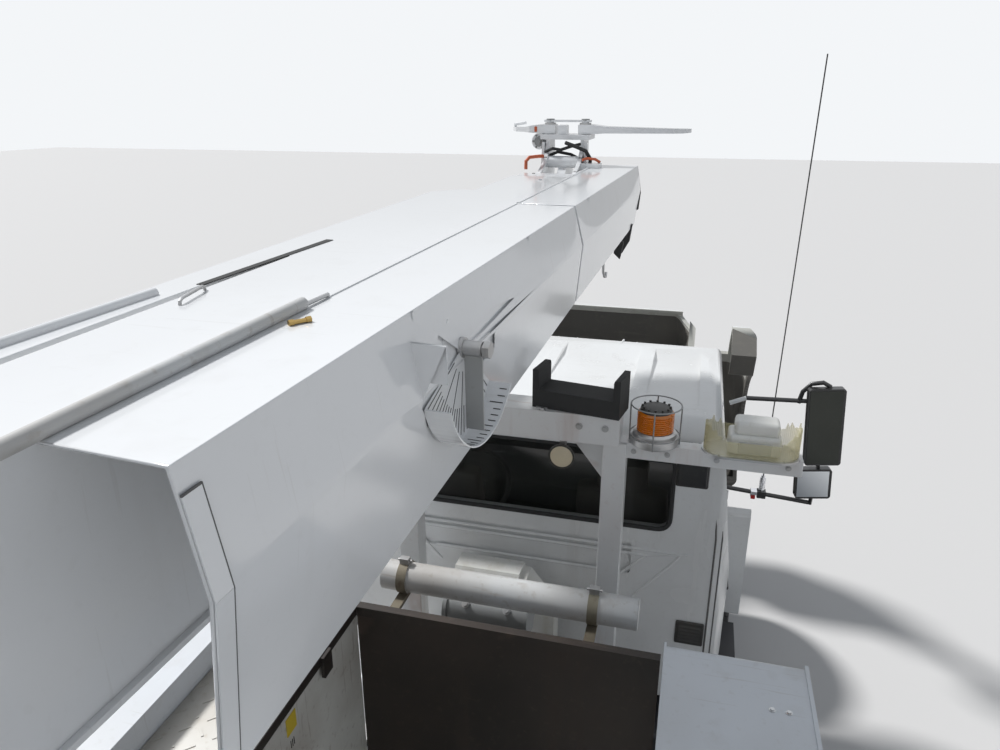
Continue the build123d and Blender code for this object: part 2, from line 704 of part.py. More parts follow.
def make_hood():
    right = fender_form(0)
    outer = hood_form(0) + right + mirrored(right)
    right_in = fender_form(HOOD_WALL)
    inner = hood_form(HOOD_WALL) + right_in + mirrored(right_in)
    hood = outer - inner
    # The rear and the underside are open, and the wheel arches run through the fenders.
    hood -= block(-740, 740, CAB_COWL, CAB_COWL + 70, 700, COWL_Z - 60)
    hood -= block(-HOOD_HALF + 60, HOOD_HALF - 60, CAB_COWL, HOOD_HINGE_Y - 90, 700, 860)
    behind = DOOR_FRONT - 40
    hood -= block(-1300, 1300, behind, HOOD_NOSE - 330, 500, 900)
    for side in (-1, 1):
        ends = sorted((side * 560, side * 1300))
        hood -= rod((ends[0], WHEELBASE, TYRE_R), (ends[1], WHEELBASE, TYRE_R), ARCH_R)
    cab_room = block(-1120, 1120, behind, CAB_COWL + 14, 900, 2100)
    cab_room -= block(-1300, -CAB_HALF - 12, behind, CAB_COWL + 14, 900, 2100)
    cab_room -= block(CAB_HALF + 12, 1300, behind, CAB_COWL + 14, 900, 2100)
    hood -= cab_room
    # Grille opening with slats, and pockets for the headlamps
    hood -= block(-420, 420, HOOD_NOSE - 140, HOOD_NOSE + 30, 900, 1340)
    for row in range(7):
        z = 930 + row * 62
        hood += block(-425, 425, HOOD_NOSE - 60, HOOD_NOSE - 36, z, z + 22)
    for x in (-425, -8, 409):
        hood += block(x, x + 16, HOOD_NOSE - 60, HOOD_NOSE - 30, 890, 1345)
    for side in (-1, 1):
        x = side * 840
        hood += block(x - 150, x + 150, HOOD_NOSE - 230, HOOD_NOSE - 60, 860, 1100)
    for side in (-1, 1):
        x = side * HOOD_HINGE_X
        arm_half = HOOD_EAR_IN - MOVING_GAP
        notch = HOOD_EAR_OUT + 10
        hood -= block(x - notch, x + notch, HOOD_HINGE_Y - 100, HOOD_NOSE + 10, 700, HOOD_HINGE_Z + 40)
        arm = block(x - arm_half, x + arm_half, HOOD_HINGE_Y - 20, HOOD_NOSE - 20, HOOD_HINGE_Z - 20, HOOD_HINGE_Z + 20)
        arm += block(x - arm_half, x + arm_half, HOOD_NOSE - 50, HOOD_NOSE - 10, HOOD_HINGE_Z - 20, 905)
        arm += rod((x - 28, HOOD_HINGE_Y, HOOD_HINGE_Z), (x + 28, HOOD_HINGE_Y, HOOD_HINGE_Z), HOOD_PIN_R)
        hood += arm
    return hood


def swing_open(shape):
    place = Pos(0, HOOD_HINGE_Y, HOOD_HINGE_Z) * Rot(-HOOD_OPEN, 0, 0) * Pos(0, -HOOD_HINGE_Y, -HOOD_HINGE_Z)
    return place * shape


# Tanks and boxes on the frame below the cab
def make_side_boxes():
    rear, front = CAB_REAR - 220, CAB_REAR + 930
    brackets = (rear + 190, front - 200)
    step_rear = CAB_REAR + 150
    tank = side_slab(outline([
        (rear, 540, 90), (rear, 880, 90), (front, 880, 90), (front, 540, 90),
    ]), -1040, -520)
    for y in brackets:
        tank += block(-522, -RAIL_HALF, y - 30, y + 30, 740, 850)
        tank += block(-1052, -520, y - 25, y + 25, 532, 545)
    for z in (560, 800):
        tank += block(-1180, -1035, step_rear, step_rear + 800, z, z + 18)
    box = block(560, 1040, rear + 50, front, 560, 880)
    box = fillet(box.edges().filter_by(Axis.X), 30)
    for y in brackets:
        box += block(RAIL_HALF, 562, y - 30, y + 30, 740, 850)
    for z in (570, 800):
        box += block(1035, 1180, step_rear, step_rear + 800, z, z + 18)
    return tank, box


# Body: side bins with their doors, deck, bulkhead and tank
def bin_side():
    return outline([
        (BIN_REAR, BIN_LOW_REAR), (BIN_REAR, BIN_TOP, 30), (BIN_FRONT, BIN_TOP, 30), (BIN_FRONT, BIN_LOW_FRONT),
        (BIN_ARCH_HALF, BIN_LOW_FRONT), (BIN_ARCH_HALF, BIN_ARCH_Z, 160), (-BIN_ARCH_HALF, BIN_ARCH_Z, 160),
        (-BIN_ARCH_HALF, BIN_LOW_REAR),
    ])


# Each room is (name, rear end, front end, bottom), and each has a door but the one over the wheels.
BIN_ROOMS = (
    ("rear", BIN_REAR + BIN_WALL, -BIN_ARCH_HALF - BIN_WALL, BIN_LOW_REAR + BIN_WALL),
    ("middle", -BIN_ARCH_HALF, BIN_ARCH_HALF, BIN_ARCH_Z + BIN_WALL),
    ("front", BIN_ARCH_HALF + BIN_WALL, BIN_FRONT - BIN_WALL, BIN_LOW_FRONT + BIN_WALL),
)


def room_block(room, x0, x1, gap):
    _, y0, y1, z0 = room
    return block(x0, x1, y0 + gap, y1 - gap, z0 + gap, BIN_TOP - BIN_WALL - gap)


def bin_hinges(room):
    y, low, high = room[2], room[3] + 90, BIN_TOP - BIN_WALL - 90 - HINGE_H
    heights = (low, (low + high) / 2, high)
    return [pin_hinge(BODY_HALF + BIN_HINGE_OUT, y, z, BIN_HINGE_R, BIN_HINGE_BED) for z in heights]


def make_bin():
    body = side_slab(bin_side(), BIN_INNER, BODY_HALF)
    for room in BIN_ROOMS:
        open_side = BODY_HALF + 10 if room[0] != "middle" else BODY_HALF - BIN_WALL
        body -= room_block(room, BIN_INNER + BIN_WALL, open_side, 0)
        if room[0] != "middle":
            y0, y1, z0 = room[1:]
            shelf = z0 + (BIN_TOP - BIN_WALL - z0) / 2
            body += block(BIN_INNER + BIN_WALL - 1, BODY_HALF - BIN_WALL - 30, y0 - 1, y1 + 1, shelf, shelf + 12)
            for fixed, _ in bin_hinges(room):
                body += fixed
    return body


def make_bin_door(room):
    door = room_block(room, BODY_HALF - BIN_WALL + 2, BODY_HALF, MOVING_GAP)
    # The latch, in a dish at the door's rear edge
    y = room[1] + 130
    z = (room[3] + BIN_TOP) / 2
    door -= block(BODY_HALF - 8, BODY_HALF + 5, y - 70, y + 70, z - 60, z + 60)
    door += block(BODY_HALF - 10, BODY_HALF - 2, y - 20, y + 20, z - 45, z + 45)
    for _, moving in bin_hinges(room):
        door += moving
    return door


def make_deck():
    inner = BIN_INNER - SEAT
    top = DECK_Z + DECK_T
    rail_top = RAIL_Z + RAIL_H
    deck = block(-inner, inner, BIN_REAR, BULKHEAD_Y + 10, DECK_Z, top)
    for side in (-1, 1):
        x = side * (RAIL_HALF - RAIL_FLANGE / 2)
        deck += block(x - 40, x + 40, BIN_REAR, BULKHEAD_Y + 10, rail_top, DECK_Z)
    # Cross bearers below the floor
    for y in (-2200, -900, 900, 2400):
        deck += block(-inner, inner, y - 30, y + 30, DECK_Z - 40, DECK_Z)
    hole = PEDESTAL_HALF + 10
    deck -= block(TURNTABLE_X - hole, TURNTABLE_X + hole, TURNTABLE_Y - hole, TURNTABLE_Y + hole,
                  rail_top - 5, top + 1)
    rear = block(-BODY_HALF + 20, BODY_HALF - 20, FRAME_REAR - 150, FRAME_REAR - 60, 560, 700 - MOVING_GAP)
    for side in (-1, 1):
        x = side * (RAIL_HALF - RAIL_FLANGE / 2)
        rear += block(x - 40, x + 40, FRAME_REAR - 62, FRAME_REAR + 200, 580, RAIL_Z)
    plate = block(-RAIL_HALF, RAIL_HALF, FRAME_REAR - 20, FRAME_REAR, RAIL_Z - 10, rail_top - 10)
    hook = block(-60, 60, FRAME_REAR - 62, FRAME_REAR - 15, 760, 900)
    hook += Pos(0, FRAME_REAR - 170, 830) * Rot(0, 90, 0) * Torus(70, 22)
    hook += block(-28, 28, FRAME_REAR - 120, FRAME_REAR - 60, 800, 860)
    return deck, rear + plate + hook


def make_tank():
    return block(-BIN_INNER, -TANK_INNER, TANK_REAR, BULKHEAD_Y - 10, DECK_Z + DECK_T, TANK_TOP)


def make_bulkhead():
    left = -TANK_INNER + SEAT
    sheet = block(left, BIN_INNER - 15, BULKHEAD_Y - 5, BULKHEAD_Y + 5, DECK_Z + DECK_T, BULKHEAD_TOP)
    sheet += block(left, BIN_INNER - 15, BULKHEAD_Y - 30, BULKHEAD_Y + 5, BULKHEAD_TOP - 40, BULKHEAD_TOP)
    tube = rod((TUBE_LEFT, TUBE_Y, TUBE_Z), (TUBE_RIGHT, TUBE_Y, TUBE_Z), TUBE_R)
    tube -= rod((TUBE_LEFT - 1, TUBE_Y, TUBE_Z), (TUBE_RIGHT - 8, TUBE_Y, TUBE_Z), TUBE_R - 6)
    for x in (TUBE_LEFT + 90, TUBE_RIGHT - 170):
        strap = rod((x - 20, TUBE_Y, TUBE_Z), (x + 20, TUBE_Y, TUBE_Z), TUBE_R + 6)
        strap -= rod((x - 21, TUBE_Y, TUBE_Z), (x + 21, TUBE_Y, TUBE_Z), TUBE_R - 1)
        bracket = block(x - 20, x + 20, BULKHEAD_Y, TUBE_Y, TUBE_Z - TUBE_R - 16, TUBE_Z - TUBE_R + 2)
        bracket += block(x - 20, x + 20, BULKHEAD_Y, BULKHEAD_Y + 24, TUBE_Z - 200, TUBE_Z - TUBE_R - 10)
        tube += strap + bracket
    return sheet + tube


# Rack behind the cab, with the saddle for the boom and the warning lamps
def make_rack():
    foot = RAIL_Z + RAIL_H
    rack = Part()
    half = POST_W / 2
    for side in (-1, 1):
        x = side * POST_HALF
        rack += block(x - half, x + half, RACK_Y - half, RACK_Y + half, foot, BEAM_TOP - BEAM_H + 1)
        plate_x = sorted((side * (RAIL_HALF - RAIL_FLANGE), side * (POST_HALF + half)))
        rack += block(plate_x[0], plate_x[1], RACK_Y - 110, RACK_Y + 110, foot, foot + 16)
        gusset = front_slab(outline([
            (x - side * half, BEAM_TOP - BEAM_H + 1), (x - side * (half + 150), BEAM_TOP - BEAM_H + 1),
            (x - side * half, BEAM_TOP - BEAM_H - 190),
        ]), RACK_Y - 10, RACK_Y + 10)
        rack += gusset
    rack += block(-BEAM_HALF, BEAM_HALF, RACK_Y - 80, RACK_Y + 80, BEAM_TOP - BEAM_H, BEAM_TOP)
    rack += block(POST_HALF, ARM_END, RACK_Y - 36, RACK_Y + 36, ARM_TOP - ARM_H, ARM_TOP)
    return rack


SADDLE_X = TURNTABLE_X + math.tan(math.radians(STOW_BEARING)) * (RACK_Y - TURNTABLE_Y)


def make_saddle():
    seat = BOOM_HALF + SADDLE_SIDE_GAP
    cheek = seat + SADDLE_CHEEK
    face = outline([
        (-cheek, 0), (-cheek, SADDLE_BASE + SADDLE_RISE), (-seat - 4, SADDLE_BASE + SADDLE_RISE),
        (-seat, SADDLE_BASE + SADDLE_RISE - 12), (-seat, SADDLE_BASE), (seat, SADDLE_BASE),
        (seat, SADDLE_BASE + SADDLE_RISE - 12), (seat + 4, SADDLE_BASE + SADDLE_RISE),
        (cheek, SADDLE_BASE + SADDLE_RISE), (cheek, 0),
    ])
    saddle = front_slab(face, -SADDLE_DEPTH / 2, SADDLE_DEPTH / 2)
    return Pos(SADDLE_X, RACK_Y, BEAM_TOP) * Rot(0, 0, -STOW_BEARING) * saddle


def make_lamps():
    z = ARM_TOP
    beacon = rod((BEACON_X, RACK_Y, z), (BEACON_X, RACK_Y, z + 40), BEACON_R + 26)
    beacon += rod((BEACON_X, RACK_Y, z + 40), (BEACON_X, RACK_Y, z + 165), BEACON_R)
    beacon = fillet(beacon.edges().group_by(Axis.Z)[-1], 24)
    bar = plan_slab(SlotOverall(400, 200).face(), z, z + 150)
    bar = Pos(LIGHT_BAR_X, RACK_Y, 0) * bar
    bar = fillet(bar.edges().group_by(Axis.Z)[-1], 30)
    work = rod((260, RACK_Y - 90, BEAM_TOP - BEAM_H - 70), (260, RACK_Y - 30, BEAM_TOP - BEAM_H - 70), 58)
    work += block(248, 272, RACK_Y - 60, RACK_Y - 36, BEAM_TOP - BEAM_H - 30, BEAM_TOP - BEAM_H)
    return beacon, bar, work


# Derrick
TURNTABLE_PLACE = Pos(TURNTABLE_X, TURNTABLE_Y, 0) * Rot(0, 0, -BOOM_YAW)
PIVOT_PLACE = TURNTABLE_PLACE * Pos(0, -PIVOT_BACK, PIVOT_Z)
BOOM_PLACE = PIVOT_PLACE * Rot(BOOM_PITCH, 0, 0)


def make_pedestal():
    x, y = TURNTABLE_X, TURNTABLE_Y
    rail_top = RAIL_Z + RAIL_H
    half = PEDESTAL_HALF
    column = block(x - half, x + half, y - half, y + half, rail_top, TURNTABLE_Z - 90)
    column = fillet(column.edges().filter_by(Axis.Z), 40)
    column += rod((x, y, TURNTABLE_Z - 50), (x, y, TURNTABLE_Z), BEARING_R)
    cone = Pos(x, y, TURNTABLE_Z - 90) * Cone(PEDESTAL_HALF + 30, BEARING_R - 20, 41,
                                               align=(Align.CENTER, Align.CENTER, Align.MIN))
    column += cone
    column += rod((x, y, TURNTABLE_Z - 10), (x, y, TURNTABLE_Z + 45), SPIGOT_R)
    return column


def make_turret():
    z = TURNTABLE_Z
    inner = BOOM_HALF + CHEEK_GAP
    outer = inner + CHEEK_T
    base_top = z + 45
    turret = rod((0, 0, z + SEAT), (0, 0, base_top), BEARING_R)
    turret -= rod((0, 0, z - 5), (0, 0, base_top + 5), SPIGOT_R + RUNNING)
    cheek = outline([
        (-300, base_top - 2), (270, base_top - 2), (270, z + 300, 90), (90, PIVOT_Z - 250, 200),
        (-PIVOT_BACK + 135, PIVOT_Z + 130, 120), (-PIVOT_BACK - 135, PIVOT_Z + 130, 120), (-385, PIVOT_Z - 150, 100),
        (-300, z + 250, 100),
    ])
    for x0 in (-outer, inner):
        turret += side_slab(cheek, x0, x0 + CHEEK_T)
    turret += block(-inner - 5, inner + 5, -300, -275, base_top - 2, z + 300)
    pivot = (0, -PIVOT_BACK, PIVOT_Z)
    for side in (-1, 1):
        a = side * (outer - 1)
        b = side * (outer + 22)
        turret += rod((min(a, b), pivot[1], pivot[2]), (max(a, b), pivot[1], pivot[2]), 95)
    turret -= rod((-outer - 60, pivot[1], pivot[2]), (outer + 60, pivot[1], pivot[2]), PIVOT_R + RUNNING)
    foot_y = -PIVOT_BACK + CYLINDER_FOOT[0]
    foot_z = PIVOT_Z + CYLINDER_FOOT[1]
    turret -= rod((-outer - 60, foot_y, foot_z), (outer + 60, foot_y, foot_z), TRUNNION_R + RUNNING)
    return TURNTABLE_PLACE * turret


def box_beam(half, bottom, top, y0, y1, wall, closed_to):
    beam = block(-half, half, y0, y1, bottom, top)
    return beam - block(-half + wall, half - wall, closed_to, y1 + 10, bottom + wall, top - wall)


def make_lower_boom():
    boom = box_beam(BOOM_HALF, BOOM_BOTTOM, BOOM_TOP, BOOM_TAIL, BOOM_END, BOOM_WALL, 200)
    boom += rod((-BOOM_HALF - CHEEK_GAP - CHEEK_T - 30, 0, 0), (BOOM_HALF + CHEEK_GAP + CHEEK_T + 30, 0, 0), PIVOT_R)
    # Doubler plates over the mouth, and flanges along the bottom
    boom += block(-BOOM_HALF - 8, BOOM_HALF + 8, BOOM_END - 260, BOOM_END, BOOM_BOTTOM - 8, BOOM_BOTTOM + 1)
    for side in (-1, 1):
        ends = sorted((side * (BOOM_HALF - 2), side * (BOOM_HALF + 14)))
        boom += block(ends[0], ends[1], 800, BOOM_END, BOOM_BOTTOM, BOOM_BOTTOM + 14)
    ears_y, ears_z = CYLINDER_EYE
    ear = outline([
        (ears_y - 210, BOOM_BOTTOM + 1), (ears_y - 60, ears_z - 60, 60), (ears_y + 60, ears_z - 60, 60),
        (ears_y + 210, BOOM_BOTTOM + 1),
    ])
    for x0 in (-EYE_HALF - MOVING_GAP - 24, EYE_HALF + MOVING_GAP):
        boom += side_slab(ear, x0, x0 + 24)
    boom -= rod((-90, ears_y, ears_z), (90, ears_y, ears_z), 25)
    # Hose tray along the left of the top
    tray_left = -BOOM_HALF - TRAY_W
    tray = block(tray_left, -BOOM_HALF + 1, TRAY_START, TRAY_END, BOOM_TOP - TRAY_H, BOOM_TOP)
    tray = chamfer(tray.edges().filter_by(Axis.Z).sort_by(Axis.Y)[-2:].sort_by(Axis.X)[:1], 90)
    tray -= block(tray_left + 8, -BOOM_HALF - 40, TRAY_START + 12, TRAY_END - 160, BOOM_TOP - TRAY_H + 8, BOOM_TOP - 22)
    tray -= block(tray_left + 26, -BOOM_HALF - 60, TRAY_START - 5, 2950, BOOM_TOP - 40, BOOM_TOP + 5)
    tray -= block(-BOOM_HALF - 60, -BOOM_HALF - 34, 3000, 3900, BOOM_TOP - 40, BOOM_TOP + 5)
    boom += tray
    # Cradle arm that steadies the auger's free end
    auger_x = -BOOM_HALF - AUGER_SIDE_GAP - AUGER_R
    arm = block(auger_x, -BOOM_HALF + 1, AUGER_START - 190, AUGER_START - 160, AUGER_Z - 30, AUGER_Z + 30)
    arm += rod((auger_x, AUGER_START - 190, AUGER_Z), (auger_x, AUGER_START - 160, AUGER_Z), AUGER_TUBE_R + 24)
    arm -= rod((auger_x, AUGER_START - 200, AUGER_Z), (auger_x, AUGER_START - 150, AUGER_Z), AUGER_TUBE_R + MOVING_GAP)
    boom += arm
    # Wear pads in the mouth, below and above the middle boom
    pad = BOOM_HALF - BOOM_WALL - 12
    lower = BOOM_BOTTOM + BOOM_WALL
    upper = BOOM_TOP - BOOM_WALL
    boom += block(-pad, pad, BOOM_END - 160, BOOM_END - 20, lower - 1, lower + PAD_T)
    boom += block(-pad, pad, BOOM_END - 160, BOOM_END - 20, upper - PAD_T, upper + 1)
    # Winch brackets on the top of the root
    for x0 in (-BOOM_HALF, BOOM_HALF - 16):
        boom += side_slab(outline([
            (140, BOOM_TOP - 1), (560, BOOM_TOP - 1), (430, BOOM_TOP + 240, 70), (270, BOOM_TOP + 240, 70),
        ]), x0, x0 + 16)
    boom -= rod((-BOOM_HALF - 5, 350, BOOM_TOP + 150), (BOOM_HALF + 5, 350, BOOM_TOP + 150), 22 + RUNNING)
    return BOOM_PLACE * boom


def make_winch():
    y, z = 350, BOOM_TOP + 150
    inner = BOOM_HALF - 16 - MOVING_GAP
    drum = rod((-inner, y, z), (inner, y, z), 80)
    for side in (-1, 1):
        a, b = sorted((side * (inner - 12), side * inner))
        drum += rod((a, y, z), (b, y, z), 125)
    drum += rod((-BOOM_HALF - 30, y, z), (BOOM_HALF + 30, y, z), 22)
    drum += rod((-BOOM_HALF - 60, y, z), (-BOOM_HALF - 5, y, z), 60)
    return BOOM_PLACE * drum


MID_HALF = BOOM_HALF - BOOM_WALL - 10
MID_BOTTOM = BOOM_BOTTOM + BOOM_WALL + PAD_T + SEAT
MID_TOP = BOOM_TOP - BOOM_WALL - PAD_T - SEAT
MID_TAIL = 400
MID_END = 5860
TIP_HALF = MID_HALF - BOOM_WALL - 10
TIP_BOTTOM = MID_BOTTOM + BOOM_WALL + PAD_T + SEAT
TIP_TOP = MID_TOP - BOOM_WALL - PAD_T - SEAT
TIP_TAIL = 560
TIP_END = 6040


def make_mid_boom():
    boom = box_beam(MID_HALF, MID_BOTTOM, MID_TOP, MID_TAIL, MID_END, BOOM_WALL, MID_TAIL - 10)
    shoe = PAD_T
    boom += block(-MID_HALF + 20, MID_HALF - 20, MID_TAIL, MID_TAIL + 120, MID_TOP - 1, MID_TOP + shoe)
    boom += block(-MID_HALF + 20, MID_HALF - 20, MID_TAIL, MID_TAIL + 120, MID_BOTTOM - shoe, MID_BOTTOM + 1)
    lower = MID_BOTTOM + BOOM_WALL
    upper = MID_TOP - BOOM_WALL
    pad = TIP_HALF - 8
    boom += block(-pad, pad, MID_END - 160, MID_END - 20, lower - 1, lower + PAD_T)
    boom += block(-pad, pad, MID_END - 160, MID_END - 20, upper - PAD_T, upper + 1)
    collar = block(-MID_HALF - 14, MID_HALF + 14, MID_END - 110, MID_END, MID_BOTTOM - 14, MID_TOP + 14)
    collar -= block(-MID_HALF + 1, MID_HALF - 1, MID_END - 120, MID_END + 10, MID_BOTTOM + 1, MID_TOP - 1)
    return BOOM_PLACE * (boom + collar)


GUIDE_Y = TIP_END + 150
GUIDE_RISE = 175
GUIDE_X = 95
GUIDE_PIN_R = 18


def make_tip_boom():
    boom = box_beam(TIP_HALF, TIP_BOTTOM, TIP_TOP, TIP_TAIL, TIP_END, BOOM_WALL, TIP_TAIL - 10)
    shoe = PAD_T
    boom += block(-TIP_HALF + 20, TIP_HALF - 20, TIP_TAIL, TIP_TAIL + 120, TIP_TOP - 1, TIP_TOP + shoe)
    boom += block(-TIP_HALF + 20, TIP_HALF - 20, TIP_TAIL, TIP_TAIL + 120, TIP_BOTTOM - shoe, TIP_BOTTOM + 1)
    table = TIP_TOP + GUIDE_RISE
    head = outline([
        (TIP_END - 120, TIP_BOTTOM + 60), (TIP_END - 120, TIP_TOP), (TIP_END + 30, TIP_TOP + 60, 80),
        (GUIDE_Y - 50, table - 40, 40), (GUIDE_Y - 50, table), (TIP_END + 200, table), (TIP_END + 200, TIP_TOP - 130, 60),
        (TIP_END + 60, TIP_BOTTOM + 60, 60),
    ])
    for x0 in (-TIP_HALF, TIP_HALF - 20):
        boom += side_slab(head, x0, x0 + 20)
    sheave = rod((-22, TIP_END + 110, TIP_TOP - 60), (22, TIP_END + 110, TIP_TOP - 60), 110)
    boom += sheave
    boom += rod((-TIP_HALF, TIP_END + 110, TIP_TOP - 60), (TIP_HALF, TIP_END + 110, TIP_TOP - 60), 24)
    # The small cylinder that swings the guides, and the table and top bar that hold their pins
    boom += rod((-TIP_HALF, TIP_END + 80, TIP_TOP + 62), (TIP_HALF, TIP_END + 80, TIP_TOP + 62), 26)
    boom += block(-TIP_HALF - 30, TIP_HALF + 30, GUIDE_Y - 60, GUIDE_Y + 60, table - 1, table + 24)
    for side in (-1, 1):
        boom += rod((side * GUIDE_X, GUIDE_Y, table), (side * GUIDE_X, GUIDE_Y, table + 86), GUIDE_PIN_R)
    boom += block(-GUIDE_X - 30, GUIDE_X + 30, GUIDE_Y - 16, GUIDE_Y + 16, table + 84, table + 94)
    return BOOM_PLACE * boom


def make_guide_arm(side):
    reach = 520 if side > 0 else 210
    z0 = TIP_TOP + GUIDE_RISE + 24 + SEAT
    x = side * GUIDE_X
    arm = outline([
        (x - side * 32, GUIDE_Y - 32, 22), (x - side * 32, GUIDE_Y + 34, 22), (x + side * 60, GUIDE_Y + 44),
        (x + side * (reach - 40), GUIDE_Y + 24), (x + side * reach, GUIDE_Y + 74, 12),
        (x + side * (reach + 22), GUIDE_Y + 62, 12), (x + side * (reach - 20), GUIDE_Y - 12, 14),
        (x + side * 50, GUIDE_Y - 30),
    ])
    body = plan_slab(arm, z0, z0 + 46)
    body -= rod((x, GUIDE_Y, z0 - 5), (x, GUIDE_Y, z0 + 60), GUIDE_PIN_R + RUNNING)
    return BOOM_PLACE * body


# Shroud sections are (y, fold x out, fold z, lower x out, lower z), measured from the boom's top right edge.
SHROUD_SECTIONS = (
    (SHROUD_REAR, SHROUD_W + 29, 140, SHROUD_W - 25, -244),
    (SHROUD_GAP_Y, SHROUD_W + 35, 205, SHROUD_W + 12, -20),
    (SHROUD_TIP, SHROUD_W + 20, 225, SHROUD_W - 5, 40),
)


def shroud_face(row):
    y, fold_x, fold_z, low_x, low_z = row
    edge = BOOM_HALF
    t = SHROUD_T
    top = BOOM_TOP
    points = [
        (edge, top), (edge + SHROUD_W, top), (edge + fold_x, fold_z), (edge + low_x, low_z),
        (edge + low_x - t, low_z), (edge + fold_x - t * 1.2, fold_z), (edge + SHROUD_W - t * 1.2, top - t),
        (edge, top - t),
    ]
    return Plane(origin=(0, y, 0), x_dir=(1, 0, 0), z_dir=(0, -1, 0)) * outline(points)


def between(row_a, row_b, y):
    share = (y - row_a[0]) / (row_b[0] - row_a[0])
    return (y,) + tuple(a + share * (b - a) for a, b in zip(row_a[1:], row_b[1:]))


def make_shroud():
    rear, gap, tip = SHROUD_SECTIONS
    gap_start = between(rear, gap, gap[0] - SHROUD_GAP / 2)
    gap_end = between(gap, tip, gap[0] + SHROUD_GAP / 2)
    back = loft([shroud_face(rear), shroud_face(gap_start)], ruled=True)
    front = loft([shroud_face(gap_end), shroud_face(tip)], ruled=True)
    # Ribs inside, which hold the sheet to the boom's wall
    for y in (SHROUD_REAR + 700, SHROUD_REAR + 1500):
        back += block(BOOM_HALF, BOOM_HALF + SHROUD_W + 4, y, y + 8, BOOM_TOP - 80, BOOM_TOP - 2)
    front += block(BOOM_HALF, BOOM_HALF + SHROUD_W + 4, gap[0] + 200, gap[0] + 208, BOOM_TOP - 80, BOOM_TOP - 2)
    # Angle indicator: a bent scale plate and a hanging bar on the shroud's upper side
    y, z = 3740, 200
    face_x = BOOM_HALF + SHROUD_W + 20
    ring = rod((face_x, y, z), (face_x + 70, y, z), 235) - rod((face_x - 1, y, z), (face_x + 71, y, z), 230)
    keep = block(face_x - 1, face_x + 71, y - 240, y + 240, z - 240, z)
    keep -= block(face_x - 2, face_x + 72, y + 130, y + 250, z - 250, z + 1)
    scale = ring & keep
    scale += block(face_x - 16, face_x + 70, y - 238, y - 230, z - 60, z + 90)
    back += scale
    back += rod((face_x - 16, y, z), (face_x + 75, y, z), 14)
    back += block(face_x + 30, face_x + 38, y - 20, y + 20, z - 215, z + 10)
    return BOOM_PLACE * (back + front)


def make_cylinder():
    # Drawn along +Y from the foot pin, then laid on the line from the foot pin to the eye on the boom.
    foot = PIVOT_PLACE * Pos(0, *CYLINDER_FOOT)
    tilt = CYLINDER_TILT
    place = foot * Rot(tilt, 0, 0)
    length = CYLINDER_LENGTH
    outer = BOOM_HALF + CHEEK_GAP + CHEEK_T
    barrel_end = length - 150
    bore_start = 420
    barrel = rod((0, -55, 0), (0, barrel_end, 0), BARREL_R)
    barrel -= rod((0, bore_start, 0), (0, barrel_end - 20, 0), ROD_R + 7)
    barrel -= rod((0, bore_start, 0), (0, barrel_end + 5, 0), ROD_R + RUNNING)
    barrel += rod((-outer - 10, 0, 0), (outer + 10, 0, 0), TRUNNION_R)
    piston = rod((0, 470, 0), (0, length - 20, 0), ROD_R)
    piston += rod((-EYE_HALF, length, 0), (EYE_HALF, length, 0), EYE_R)
    piston -= rod((-EYE_HALF - 5, length, 0), (EYE_HALF + 5, length, 0), 25)
    return place * barrel, place * piston


def cylinder_line():
    pitch = math.radians(BOOM_PITCH)
    eye_y = CYLINDER_EYE[0] * math.cos(pitch) - CYLINDER_EYE[1] * math.sin(pitch)
    eye_z = CYLINDER_EYE[0] * math.sin(pitch) + CYLINDER_EYE[1] * math.cos(pitch)
    dy = eye_y - CYLINDER_FOOT[0]
    dz = eye_z - CYLINDER_FOOT[1]
    return math.hypot(dy, dz), math.degrees(math.atan2(dz, dy))


CYLINDER_LENGTH, CYLINDER_TILT = cylinder_line()
AUGER_X = -BOOM_HALF - AUGER_SIDE_GAP - AUGER_R


def make_auger():
    tube = rod((AUGER_X, AUGER_START - 230, AUGER_Z), (AUGER_X, AUGER_END + 90, AUGER_Z), AUGER_TUBE_R)
    length = AUGER_END - AUGER_START - AUGER_PITCH * 0.5
    path = Helix(AUGER_PITCH, length, AUGER_TUBE_R - 4)
    start = Plane(origin=path @ 0, x_dir=(1, 0, 0), z_dir=path % 0)
    width = AUGER_R - AUGER_TUBE_R + 4
    flight = sweep(start * Pos(width / 2, 0, 0) * Rectangle(width, FLIGHT_T), path, is_frenet=True)
    flight = Pos(AUGER_X, AUGER_START + 60, AUGER_Z) * Rot(-90, 0, 0) * flight
    tip = Pos(AUGER_X, AUGER_START - 230, AUGER_Z) * Rot(90, 0, 0) * Cone(
        AUGER_TUBE_R, 6, 120, align=(Align.CENTER, Align.CENTER, Align.MIN))
    collar = rod((AUGER_X, AUGER_END, AUGER_Z), (AUGER_X, AUGER_END + 90, AUGER_Z), AUGER_TUBE_R + 24)
    auger = tube + flight + collar + tip
    auger -= rod((AUGER_X, AUGER_END - 60, AUGER_Z), (AUGER_X, AUGER_END + 100, AUGER_Z), 30 + RUNNING)
    return BOOM_PLACE * auger


def make_auger_drive():
    y = AUGER_END + 90 + MOVING_GAP
    x, z = AUGER_X, AUGER_Z
    drive = rod((x, y, z), (x, y + 230, z), 150)
    drive += rod((x, y + 228, z), (x, y + 300, z), 105) + rod((x, y + 298, z), (x, y + 470, z), 70)
    drive += rod((x, AUGER_END - 50, z), (x, y + 10, z), 30)
    drive += block(x, -BOOM_HALF - SEAT, y + 60, y + 90, z - 70, z + 70)
    drive += block(x, -BOOM_HALF - SEAT, y + 150, y + 180, z - 70, z + 70)
    drive += block(-BOOM_HALF - 18, -BOOM_HALF - SEAT, y + 30, y + 210, z - 90, z + 90)
    return BOOM_PLACE * drive


def both(name, shape):
    add(name + "_right", shape)
    add(name + "_left", mirrored(shape))


